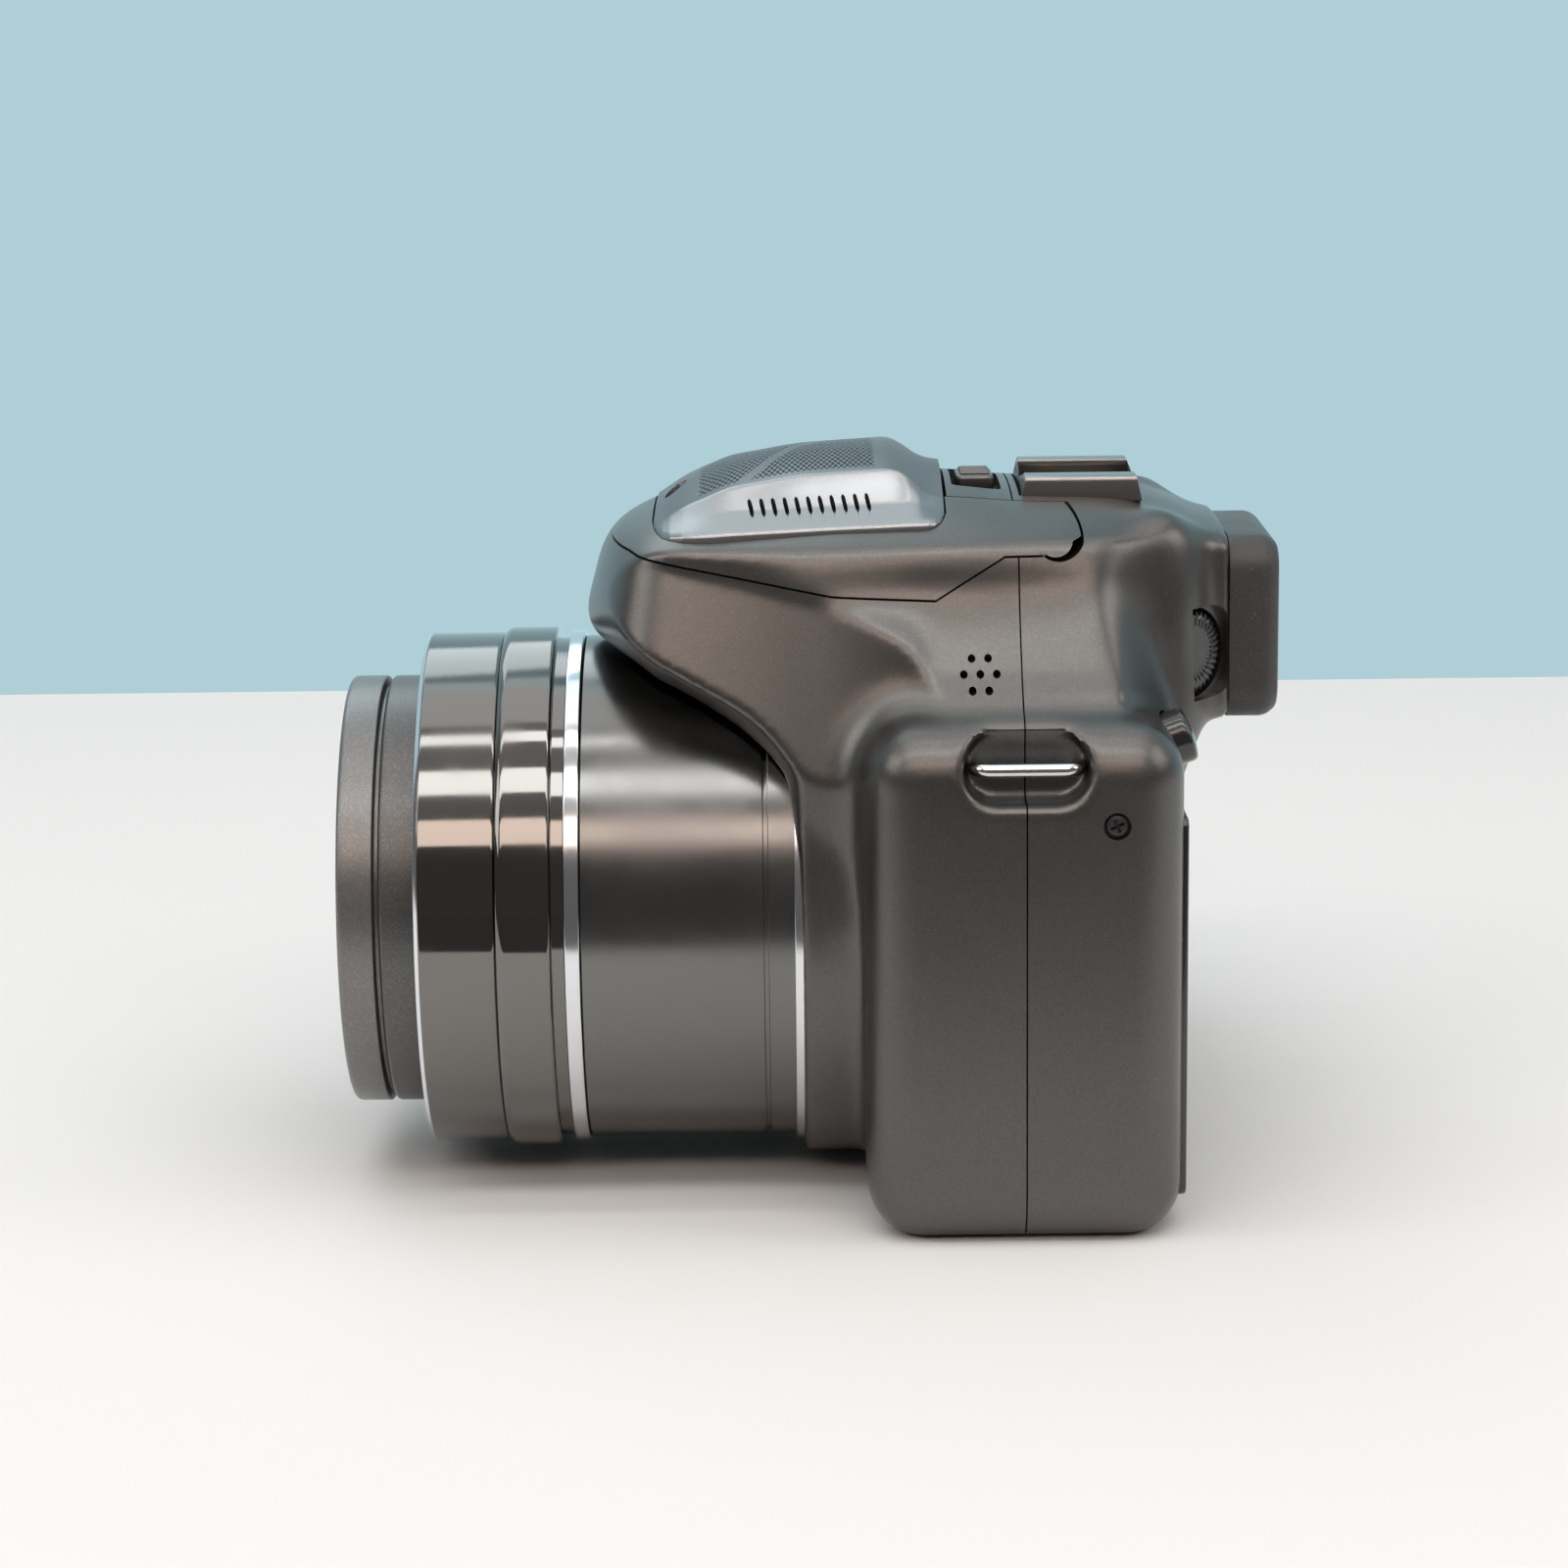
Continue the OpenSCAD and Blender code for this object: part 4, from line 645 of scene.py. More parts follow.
def ramp(tree, value, low, high):
    """Smooth step from 0 to 1 between low and high."""
    return add(tree, "ShaderNodeMapRange", {"Value": value, "From Min": low, "From Max": high},
               interpolation_type="SMOOTHSTEP").outputs[0]


def between(tree, share, a, b):
    """Number a where the share is 0 and b where it is 1."""
    return add(tree, "ShaderNodeMapRange", {"Value": share, "To Min": a, "To Max": b}).outputs[0]


def mixed(tree, share, a, b):
    """Colour a where the share is 0 and b where it is 1; each is a link or a plain colour."""
    a, b = [c if isinstance(c, bpy.types.NodeSocket) else (*c, 1) for c in (a, b)]
    return add(tree, "ShaderNodeMix", {0: share, 6: a, 7: b}, data_type="RGBA").outputs[2]


def place_in(tree):
    return add(tree, "ShaderNodeTexCoord").outputs["Object"]


def axes_of(tree, place):
    return add(tree, "ShaderNodeSeparateXYZ", {0: place}).outputs


def per_metre(tree, size):
    """How many times a size in millimetres goes into a metre."""
    return calc(tree, "DIVIDE", 1 / MM, size)


def new_group(name, inputs, outputs):
    """An empty shader group with named number inputs, each with a first value, and named number outputs."""
    group = bpy.data.node_groups.new(name, "ShaderNodeTree")
    for label, value in inputs.items():
        socket = group.interface.new_socket(label, in_out="INPUT", socket_type="NodeSocketFloat")
        socket.default_value = value
    for label in outputs:
        group.interface.new_socket(label, in_out="OUTPUT", socket_type="NodeSocketFloat")
    return group, group.nodes.new("NodeGroupInput").outputs, group.nodes.new("NodeGroupOutput").inputs


def make_grain():
    """Fine moulded grain: two sizes of noise give a height, and the brightest grains a sparkle mask."""
    tree, given, gives = new_group("moulded_grain", {"Size": 0.2, "Sparkle": 0.7}, ["Height", "Sparkle"])
    place = place_in(tree)
    scale = per_metre(tree, given["Size"])
    fine = add(tree, "ShaderNodeTexNoise", {"Vector": place, "Scale": scale, "Detail": 2.0, "Roughness": 0.6})
    wide = times(tree, scale, 0.31)
    broad = add(tree, "ShaderNodeTexNoise", {"Vector": place, "Scale": wide, "Detail": 1.0})
    grains = add(tree, "ShaderNodeTexVoronoi", {"Vector": place, "Scale": scale})
    pick = add(tree, "ShaderNodeSeparateColor", {0: grains.outputs["Color"]}).outputs[0]
    sparkle = ramp(tree, pick, given["Sparkle"], plus(tree, given["Sparkle"], 0.08))
    tree.links.new(plus(tree, fine.outputs[0], times(tree, broad.outputs[0], 0.6)), gives["Height"])
    tree.links.new(sparkle, gives["Sparkle"])
    return tree


def make_handled():
    """Traces of use: broad cloudy smears and a few specks of dust, as two masks."""
    first = {"Smear size": 14.0, "Dust size": 0.5, "Dust": 0.06}
    tree, given, gives = new_group("handled", first, ["Smear", "Dust"])
    place = place_in(tree)
    cloud = add(tree, "ShaderNodeTexNoise", {
        "Vector": place, "Scale": per_metre(tree, given["Smear size"]), "Detail": 4.0, "Roughness": 0.62,
        "Distortion": 0.4})
    count = per_metre(tree, given["Dust size"])
    specks = add(tree, "ShaderNodeTexVoronoi", {"Vector": place, "Scale": count})
    pick = add(tree, "ShaderNodeSeparateColor", {0: specks.outputs["Color"]}).outputs[1]
    rare = calc(tree, "GREATER_THAN", pick, calc(tree, "SUBTRACT", 1.0, given["Dust"]))
    near = ramp(tree, specks.outputs["Distance"], 0.3, 0.1)
    tree.links.new(ramp(tree, cloud.outputs[0], 0.36, 0.66), gives["Smear"])
    tree.links.new(times(tree, rare, near), gives["Dust"])
    return tree


def make_turned():
    """Turned lines: noise that changes only along the lens axis, fine and coarse, as a height."""
    tree, given, gives = new_group("turned_lines", {"Pitch": 0.1}, ["Height"])
    along = axes_of(tree, place_in(tree))["Y"]
    count = calc(tree, "DIVIDE", times(tree, along, 1 / MM), given["Pitch"])
    fine, coarse = [add(tree, "ShaderNodeTexNoise", {"W": w, "Scale": 1.0, "Detail": detail},
                        noise_dimensions="1D").outputs[0]
                    for w, detail in ((count, 2.0), (times(tree, count, 0.13), 1.0))]
    tree.links.new(plus(tree, fine, times(tree, coarse, 1.5)), gives["Height"])
    return tree


def make_grille():
    """Perforated sheet: staggered rows of short cross slots on the level plane, as a hole mask, left out on a
    slanting band across the middle and towards the edges."""
    tree, given, gives = new_group("grille", {"Pitch": 0.76, "Stretch": 0.32, "Hole": 0.3}, ["Hole"])
    axes = axes_of(tree, place_in(tree))
    x, y = times(tree, axes["X"], 1 / MM), times(tree, axes["Y"], 1 / MM)
    turn = calc(tree, "DIVIDE", 2 * math.pi, given["Pitch"])
    across = times(tree, x, given["Stretch"])
    waves = [calc(tree, "COSINE", times(tree, calc(tree, way, across, y), turn))
             for way in ("ADD", "SUBTRACT")]
    lattice = times(tree, plus(tree, *waves), 0.5)
    mask = ramp(tree, lattice, given["Hole"], plus(tree, given["Hole"], 0.22))
    band = calc(tree, "ABSOLUTE", calc(tree, "MULTIPLY_ADD", x, 0.42, plus(tree, y, 30.0)))
    for value, bare, pierced in ((calc(tree, "ABSOLUTE", x), 14.6, 14.0), (y, -42.2, -41.6),
                                 (y, -18.6, -19.2), (band, 0.8, 1.1)):
        mask = times(tree, mask, ramp(tree, value, bare, pierced))
    tree.links.new(mask, gives["Hole"])
    return tree


GRAIN, HANDLED, TURNED_LINES, GRILLE = make_grain(), make_handled(), make_turned(), make_grille()


def use(tree, group, **values):
    """A group's outputs, with values put into its inputs."""
    node = tree.nodes.new("ShaderNodeGroup")
    node.node_tree = group
    for key, value in values.items():
        node.inputs[key.replace("_", " ")].default_value = value
    return node.outputs


def start(name, **constants):
    """A material with its shader; constants are set on the shader's own sockets."""
    material = bpy.data.materials.new(name)
    material.use_nodes = True
    shader = material.node_tree.nodes["Principled BSDF"]
    for key, value in constants.items():
        shader.inputs[key.replace("_", " ")].default_value = value
    return material, material.node_tree, shader


def dress(tree, shader, tone, smear, rough, height=None, bump=0.0, deep=0.0):
    """Links a tone, a roughness that smears take from the first value to the second, and a bump."""
    tree.links.new(tone, shader.inputs["Base Color"])
    tree.links.new(between(tree, smear, *rough), shader.inputs["Roughness"])
    if height is not None:
        lift = add(tree, "ShaderNodeBump", {"Height": height, "Strength": bump, "Distance": deep * MM})
        tree.links.new(lift.outputs[0], shader.inputs["Normal"])


def plastic(name, colour, sparkle_colour, rough, grain=0.16, bump=0.06, sparkle=0.9, dust=0.03, coat=0.0,
            flake=0.0):
    """Moulded or painted plastic: a base colour with a rare bright grain, a fine bump, smears and dust;
    'flake' is the share of metal flakes in its paint."""
    material, tree, shader = start(name, Specular_IOR_Level=0.5, Metallic=flake, Coat_Weight=coat,
                                   Coat_Roughness=0.12)
    fine = use(tree, GRAIN, Size=grain, Sparkle=sparkle)
    worn = use(tree, HANDLED, Dust=dust)
    base = mixed(tree, fine["Sparkle"], colour, sparkle_colour)
    dusty = mixed(tree, times(tree, worn["Dust"], 0.2), base, (0.3, 0.29, 0.28))
    dress(tree, shader, dusty, worn["Smear"], (rough - 0.015, rough + 0.02), fine["Height"], bump, 0.2)
    return material


def turned_metal(name, colour, rough, pitch, bump):
    """Turned metal: fine lines round the lens axis in the bump, smears in the gloss."""
    material, tree, shader = start(name, Metallic=1.0, Specular_IOR_Level=0.5)
    lines = use(tree, TURNED_LINES, Pitch=pitch)
    worn = use(tree, HANDLED, Dust=0.015, Smear_size=22.0)
    tone = mixed(tree, times(tree, worn["Dust"], 0.3), colour, (0.35, 0.35, 0.35))
    dress(tree, shader, tone, worn["Smear"], (rough - 0.03, rough + 0.04), lines["Height"], bump, 0.1)
    return material


def plain_metal(name, colour, rough, grain=0.3, bump=0.03, metallic=1.0):
    """Sheet or cast metal with a faint grain and smears."""
    material, tree, shader = start(name, Metallic=metallic)
    fine = use(tree, GRAIN, Size=grain, Sparkle=0.95)
    worn = use(tree, HANDLED, Dust=0.02)
    tone = mixed(tree, times(tree, worn["Smear"], 0.3), colour, tuple(0.8 * c for c in colour))
    dress(tree, shader, tone, worn["Smear"], (rough, rough + 0.08), fine["Height"], bump, 0.1)
    return material


def rubber(name, colour, rough, size, bump):
    """Pebbled rubber: rounded cells in the bump, their valleys paler, and dust."""
    material, tree, shader = start(name, Specular_IOR_Level=0.35)
    cells = add(tree, "ShaderNodeTexVoronoi", {
        "Vector": place_in(tree), "Scale": 1 / MM / size, "Smoothness": 0.35}, feature="SMOOTH_F1")
    cell = cells.outputs["Distance"]
    fine = use(tree, GRAIN, Size=0.12, Sparkle=0.97)
    worn = use(tree, HANDLED, Dust=0.05)
    valley = ramp(tree, cell, 0.35, 0.75)
    tone = mixed(tree, times(tree, valley, 0.4), colour, tuple(1.6 * c for c in colour))
    dusty = mixed(tree, times(tree, worn["Dust"], 0.3), tone, (0.28, 0.27, 0.26))
    height = plus(tree, calc(tree, "SUBTRACT", 1.0, cell), times(tree, fine["Height"], 0.15))
    dress(tree, shader, dusty, worn["Smear"], (rough - 0.05, rough + 0.06), height, bump, 0.6)
    return material


def glass(name, colour):
    """Coated optical glass: clear, with a dark tint and a faint coloured bloom from cloud to cloud."""
    material, tree, shader = start(name, IOR=1.52, Transmission_Weight=1.0, Coat_Weight=0.6,
                                   Coat_Roughness=0.02)
    worn = use(tree, HANDLED, Smear_size=30.0, Dust=0.01)
    tone = mixed(tree, worn["Smear"], colour, tuple(1.15 * c for c in colour))
    dress(tree, shader, tone, worn["Smear"], (0.02, 0.04))
    return material


def grille_silver(name, paint, sparkle_paint, hole):
    """Satin silver paint whose dome is pierced by rows of short slots, drawn as a mask: the bump presses them
    in and their near-black colour is painted shade for the dark inside of each hole.
    """
    material, tree, shader = start(name, Metallic=0.9, Specular_IOR_Level=0.5,
                                   Specular_Tint=(0.5, 0.5, 0.5, 1))
    fine = use(tree, GRAIN, Size=0.18, Sparkle=0.93)
    worn = use(tree, HANDLED)
    holes = use(tree, GRILLE, Pitch=0.76, Stretch=0.32, Hole=-0.08)
    # The slots' colour in the holes is painted shade, standing in for the dark inside of each perforation
    pierced = mixed(tree, holes["Hole"], mixed(tree, fine["Sparkle"], paint, sparkle_paint), hole)
    height = calc(tree, "SUBTRACT", times(tree, fine["Height"], 0.004), holes["Hole"])
    dress(tree, shader, pierced, worn["Smear"], (0.29, 0.315), height, 0.6, 0.3)
    return material


# Colour, colour of bright grains, roughness, grain size, bump, limit of bright grains, dust, coat, flake
PLASTICS = {
    "body_plastic": ((0.100, 0.096, 0.092), (0.125, 0.12, 0.115), 0.34, 0.1, 0.05, 0.75, 0.006, 0.0, 0.9),
    "lid_plastic": ((0.105, 0.101, 0.097), (0.13, 0.125, 0.12), 0.34, 0.1, 0.05, 0.75, 0.006, 0.0, 0.9),
    "gloss_black": ((0.012, 0.012, 0.013), (0.02, 0.02, 0.021), 0.2, 0.4, 0.02, 0.97, 0.02, 0.3),
    "cap_black": ((0.15, 0.147, 0.144), (0.2, 0.195, 0.19), 0.36, 0.14, 0.05, 0.8, 0.008, 0.0, 0.75),
    "inner_black": ((0.09, 0.088, 0.086), (0.13, 0.127, 0.124), 0.36, 0.14, 0.05, 0.8, 0.008, 0.0, 0.75),
    "flash_diffuser": ((0.72, 0.72, 0.7), (0.8, 0.8, 0.78), 0.25, 0.6, 0.3, 0.9, 0.02, 0.4),
    "screen_glass": ((0.006, 0.007, 0.01), (0.01, 0.011, 0.014), 0.06, 1.5, 0.004, 0.97, 0.02, 0.6),
    "board_green": ((0.03, 0.11, 0.05), (0.3, 0.26, 0.12), 0.45, 1.2, 0.15, 0.93),
    "cell_black": ((0.02, 0.02, 0.022), (0.04, 0.04, 0.042), 0.5)}
# Colour, roughness, pitch of the lines, bump
TURNED_METALS = {
    "ring_black": ((0.155, 0.15, 0.143), 0.08, 0.12, 0.04),
    "barrel_black": ((0.15, 0.149, 0.145), 0.21, 0.1, 0.03),
    "chrome": ((0.62, 0.63, 0.65), 0.14, 0.2, 0.05)}
# Colour, roughness, grain size, bump, share of metal
PLAIN_METALS = {
    "steel": ((0.56, 0.565, 0.57), 0.16),
    "screw_black": ((0.03, 0.03, 0.031), 0.36, 0.3, 0.05, 0.4),
    "shoe_metal": ((0.27, 0.262, 0.255), 0.29, 0.25, 0.06),
    "contact_gold": ((0.75, 0.52, 0.2), 0.29),
    "sheet_metal": ((0.42, 0.43, 0.44), 0.35)}
# Colour, roughness, size of the cells, bump
RUBBERS = {
    "rubber_black": ((0.016, 0.0155, 0.015), 0.62, 1.1, 0.5),
    "cup_rubber": ((0.034, 0.033, 0.032), 0.42, 0.3, 0.06)}
GLASSES = {"optical_glass": ((0.16, 0.17, 0.21),)}
# Colour, colour of the bright grains, colour in the holes (painted shade for their dark insides)
GRILLES = {"silver_plastic": ((0.28, 0.289, 0.297), (0.31, 0.319, 0.327), (0.02, 0.03, 0.038))}
FINISH = {name: make(name, *row)
          for make, rows in ((plastic, PLASTICS), (turned_metal, TURNED_METALS), (plain_metal, PLAIN_METALS),
                             (rubber, RUBBERS), (glass, GLASSES), (grille_silver, GRILLES))
          for name, row in rows.items()}


# Moulded covers and the flash lid
WALL_THICK, POCKET_WALL, LID_ROOM = 2.1, 1.5, 2.2
SLEEVE_R, SLEEVE_BACK = 36.9, -19
BAY_LOW, BAY_BACK, LID_BACK = 74.3, -9.8, 9.5
SHOE_LOW, SHOE_FRONT = 88.6, -2.5
FLANK_R, FLANK_DEEP = 7.6, 4.0
TOP_LOW, TOP_X, TOP_GAP = 57.0, -38.4, 0.2
FAR = 150
MOULD_SHARP = 30


def cavity_field(form):
    """The covers' hollow on every third voxel: the form drawn in by a wall, kept out of the lens sleeve, the
    flash bay with its walls, the shoe, the strap pockets and the dioptre pocket."""
    x, y, z = voxels(3)
    hollow = form[::3, ::3, ::3] + WALL_THICK
    sleeve = np.maximum(lens_distance(x, z) - SLEEVE_R, y - SLEEVE_BACK)
    seam = np.interp(YS[::3], [-51, -24.7, -11.5, -2.3, 7], [86.2, 81.6, 81.0, 86.3, 86.3])[None, :, None]
    lid = np.maximum(seam - LID_ROOM - z, y - LID_BACK) + 0 * x
    bay = np.maximum(BAY_LOW - z, y - BAY_BACK) + 0 * x
    shoe = np.maximum(SHOE_LOW - z, SHOE_FRONT - y) + 0 * x
    pocket = lug_distance(y, z) - POCKET_R - POCKET_WALL
    pockets = [np.maximum(pocket, np.abs(x - side) - POCKET_DEEP - 1.6) for side in (BODY_LEFT, -BODY_RIGHT)]
    ca, sa = math.cos(math.radians(FLANK_DEGREES)), math.sin(math.radians(FLANK_DEGREES))
    dx, dy, dz = [v - at for v, at in zip((x, y, z), FLANK_DIAL)]
    off = np.sqrt((dx * -sa + dy * ca) ** 2 + dz ** 2)
    flank = np.maximum(off - FLANK_R, -FLANK_DEEP - (dx * ca + dy * sa))
    for solid in (sleeve, lid, bay, shoe, *pockets, flank):
        hollow = np.maximum(hollow, -solid)
    return hollow.astype(np.float32)


def bay_shape(crown, wall, low, back):
    """Room under the flash lid: the crown drawn in by a wall, above a level, in front of a plane."""
    x, y, z = voxels(2)
    room = np.maximum(np.maximum(crown[::2, ::2, ::2] + wall, low - z), np.maximum(y - back, -49 - y))
    return field_shape(room.astype(np.float32), 2)


def lid_hole():
    """The lid's zone without the deck that carries the shoe, as arrays."""
    hole = make_object("lid_hole", lid_zone(0.15), 1.0)
    carve(hole, [box((-13.05, -9.45, 60), (13.05, 120, 140))])
    mesh = hole.data
    points = mesh_points(mesh)
    mesh.calc_loop_triangles()
    tris = np.empty(len(mesh.loop_triangles) * 3, np.int32)
    mesh.loop_triangles.foreach_get("vertices", tris)
    drop(hole)
    return points.reshape(-1, 3).astype(float), np.zeros((0, 4), int), tris.reshape(-1, 3).astype(int)


def make_covers():
    """Cuts front, rear and top cover and the lid out of the one outer form, so that their surfaces run on
    across the seams."""
    form, crown = body_field()
    outer = field_shape(form, 1)
    hollow = field_shape(cavity_field(form), 3)
    pockets = on_screws(lathe([[0.95, -5], [0.95, -1.3], [1.75, -1.3], [1.75, 4]], 32))
    top_corner = box((-FAR, -FAR, TOP_LOW), (TOP_X, FAR, FAR))
    bay = bay_shape(crown, 2.0, 76.5, -12)
    bore = on_lens(cylinder(BORE_R, 13.6, 120, 256))
    socket = cylinder(8.7, -1, 3, 64)
    door = box((-78.85, -34.35, -1), (-60.15, -2.05, 3.1))
    door_pin = placed(cylinder(0.8, 0, 34.8, 16), turn_x(-90), (DOOR_PIN_X, -35.6, DOOR_PIN_Z))
    shared = [top_corner, hollow, bay, lid_hole(), bore, pockets, socket, door, door_pin]

    spots = [(0, 0)] + [(SPEAKER_PITCH * math.cos(k), SPEAKER_PITCH * math.sin(k)) for k in around(6)]
    speaker = together(*[along_x(cylinder(0.5, 0, 30, 20), 29.6, SPEAKER_Y + y, SPEAKER_Z + z)
                         for y, z in spots])
    recess = prism(soften([[-8, -8.6], [8, -8.6], [8, -2], [-8, -2]], 1.0), 90.6, 110)
    slot = box((-2.75, -6.75, 87.5), (4.95, -3.85, 91))
    piece("front_cover_shell", outer, "front_cover", None, [*shared, speaker, recess, slot],
          box((-FAR, -FAR, -9), (FAR, SEAM_Y - 0.1, FAR)), MOULD_SHARP)

    buttons = [on_back(cylinder(r + CLEAR, -5, 6), x, z) for x, z, r in BACK_BUTTONS.values()]
    screen = on_back(prism(round_rect(35.35, 25.35, 1.2), -0.7, 6), DISPLAY_X, DISPLAY_Z)
    dial = moved(cylinder(8.35, -3.35, 3.35, 64), *REAR_DIAL)
    view = on_rear_slope(cylinder(3.95, -6, 8))
    flank = on_flank(cylinder(6.1, -2.4, 1.75, 96))
    flank_open = soften([[-6.1, -1.4], [6.1, -1.4], [6.1, 6.1], [-6.1, 6.1]], [0.1, 0.1, 5.6, 5.6], 14)
    flank_mouth = on_flank(prism(flank_open, 1.0, 9))
    terminal = box((-90, 1.15, 18.65), (-81.2, 11.85, 47.35))
    flap_pin = moved(cylinder(0.8, 17.4, 48.6, 16), FLAP_PIN_X, FLAP_PIN_Y, 0)
    seat = box((-10.6, 0.2, SHOE_Z), (10.6, 36, 120))
    eye = box((-10.5, 21.6, 67), (10.5, 50, 83))
    rod = along_x(cylinder(0.85, -14.2, 14.2, 20), 0, HINGE_Y, HINGE_Z)
    rear_cuts = [together(*buttons), screen, dial, view, flank, flank_mouth, terminal, flap_pin, seat, eye,
                 rod]
    piece("rear_cover_shell", outer, "rear_cover", None, shared + rear_cuts,
          box((-FAR, SEAM_Y + 0.1, -9), (FAR, FAR, FAR)), MOULD_SHARP)

    holes = [moved(cylinder(3.35, -8, 8), *MODE_DIAL), moved(cylinder(2.55, -8, 8), *POWER_LEVER)]
    holes += [moved(cylinder(r + CLEAR, -8, 8), x, y, SHOULDER) for x, y, r in PLATE_BUTTONS.values()]
    holes += [on_slope(cylinder(4.55, -8, 8))]
    piece("top_cover_shell", outer, "top_cover", None, [hollow, pockets, together(*holes)],
          box((-FAR, -FAR, TOP_LOW + TOP_GAP), (TOP_X - TOP_GAP, FAR, FAR)), MOULD_SHARP)

    under = bay_shape(crown, 1.6, 60, 30)
    deck = box((-13.3, -10.5, 0), (13.3, 60, 140))
    ears = [along_x(cylinder(1.65, -1.3, 1.3, 32), side * EAR_X, HINGE_Y, HINGE_Z) for side in (-1, 1)]
    piece("flash_lid_shell", outer, "flash_lid", None, [under, mic_shape(-0.28, True), deck, together(*ears)],
          lid_zone(-0.15), MOULD_SHARP)


# Microphone cover
MIC_MIDDLE, MIC_HALF = -29, 23.6


def mic_shape(shrink, deep=False):
    """Section of the microphone cover carried along y: a flat dome, a ridge, a steep side, a hollow and a
    wide flange that rounds in at both ends. With 'deep' its foot goes far down, for cutting its seat."""
    y = np.concatenate([np.linspace(*run) for run in ((-47.9, -44, 24), (-43.4, -13.4, 48), (-13, -10, 16))])
    if deep:
        y = y + 0.28 * np.sign(y - MIC_MIDDLE) * (np.abs(y - MIC_MIDDLE) > 16)
    share = np.interp(y, [-48.2, -47.9, -47.4, -46.7, -45.7, -44, -42, -40, -13, -12, -11.2, -10.5, -9.7],
                      [0.5, 0.66, 0.77, 0.85, 0.91, 0.96, 0.988, 1, 1, 0.99, 0.965, 0.92, 0.82])
    half = MIC_HALF * share - shrink
    foot = np.interp(y, [-47.9, -44, -38, -25, -14, -10], [87.2, 87.7, 88.1, 88.7, 89.1, 89.1])
    crest = fading([
        (-47.9, 89.6), (-44, 92.8), (-38, 95.2), (-30.7, 96.8), (-23, 97.3), (-16.6, 97.4), (-15, 96.9),
        (-13, 95.6), (-11.5, 95.1), (-10, 94.9)], y, 0.7) - shrink
    ridge = fading([
        (-47.9, 89.1), (-44, 91.5), (-38, 94.0), (-28, 95.6), (-16.4, 96.3), (-14.6, 95.4), (-12.3, 92.9),
        (-10, 92.3)], y, 0.7) - shrink
    low = foot - (16 if deep else 0.4)
    lip = foot + 0.85 - shrink
    shelf = np.minimum(foot + 3.2, 0.45 * lip + 0.55 * ridge)
    inner = 0.5 + 0.5 * share
    across = [half, half, half * 0.96, 19.4 * inner, 18.0 * inner - shrink, 16.6 * inner - shrink, 9 * inner,
              3 * inner]
    up = [low, lip, lip + 0.55, shelf, 0.5 * (shelf + ridge), ridge + 0.05, 0.3 * ridge + 0.7 * crest, crest]
    sections = np.stack([np.stack(across, -1), np.stack(up, -1)], -1)
    limit = (half[:, None] - 0.3) * [1, 0.97, 0.93, 0.88, 0.5, 0.2]
    sections[:, 2:, 0] = np.minimum(sections[:, 2:, 0], limit)
    rows = []
    for section, at in zip(sections, y):
        line = soften(section, [0.1, 0.45, 0.4, 0.35, 0.5, 0.5, 5, 3], 6, closed=False)
        full = np.vstack([line, line[::-1] * [-1, 1]])
        rows.append(np.column_stack([full[:, 0], np.full(len(full), at), full[:, 1]]))
    return skin(rows)


def make_microphone_cover():
    """The cover with eleven upright slots pressed into the steep part of each side, and a scoop in front."""
    a = around(20)
    ring = np.stack([0.28 * np.cos(a), 1.05 * np.sign(np.sin(a)) * np.abs(np.sin(a)) ** 0.5], -1)
    lean = np.radians(14)
    ring = ring @ np.array([[math.cos(lean), math.sin(lean)], [-math.sin(lean), math.cos(lean)]])
    p, q, t = prism(ring, 15.6, 24)
    slots = []
    for k in range(11):
        side = np.stack([p[:, 2], p[:, 0] - 35.1 + 1.52 * k, p[:, 1] + 91.75 + 0.065 * k], -1)
        slots += [mirrored((side, q, t)), outward(side, q, t)]
    bowl = lathe([[0.01, -2.4], [1.3, -2.35], [1.62, -2.0], [1.75, -1.2], [1.85, 6]], 48)
    scoop = placed(placed(bowl, np.diag([1.7, 1, 1])), turn_x(24), (0, -45.1, 91.2))
    piece("microphone_cover_shell", mic_shape(0), "microphone_cover", cuts=[together(*slots), scoop],
          sharp=34, solver="EXACT")


make_covers()
make_microphone_cover()


# Grip rubber
def grip_sheet():
    """Rubber skin: a rounded strip section carried along the grip's front outline, 0.9 thick, its ends let
    down to the cover."""
    plan = grip_plan()
    gone = np.roll(plan, -1, 0) - plan
    length = np.concatenate([[0], np.cumsum(np.linalg.norm(gone, axis=1))])
    closed = np.vstack([plan, plan[:1]])
    even = np.linspace(0, length[-1], 720, endpoint=False)
    ring = np.stack([np.interp(even, length, closed[:, k]) for k in (0, 1)], -1)
    kept = ring[:, 1] < -21.8
    first = np.flatnonzero(kept & ~np.roll(kept, 1))[0]
    ring = np.roll(ring, -first, 0)[:kept.sum()]
    ahead = np.gradient(ring, axis=0)
    normal = np.stack([ahead[:, 1], -ahead[:, 0]], -1)
    normal /= np.linalg.norm(normal, axis=1)[:, None]
    normal *= np.sign(((ring - [-70.0, -24.0]) * normal).sum(1))[:, None]
    run = np.linspace(0, 1, len(ring))
    gap = np.minimum(run, 1 - run) * np.linalg.norm(ahead, axis=1).sum()
    full = 0.05 + 0.85 * np.clip(gap / 1.2, 0, 1) ** 0.5
    section = soften([[0.0, 6.2], [1, 6.2], [1, 49.8], [0.0, 49.8]], [0, 0.9, 0.9, 0], 8)
    out = 0.04 + section[None, :, 0] * full[:, None]
    up = np.broadcast_to(section[None, :, 1, None], out.shape + (1,))
    return skin(np.concatenate([ring[:, None] + out[..., None] * normal[:, None], up], -1))


thumb_pad = on_back(slab(4, 9.5, 2.5, 0.02, 0.92, 0.5, 0.25, 0.02), -71.6, 45)
piece("grip_skin", together(grip_sheet(), thumb_pad), "grip_rubber")

# Lens
RING_SHARP = 38


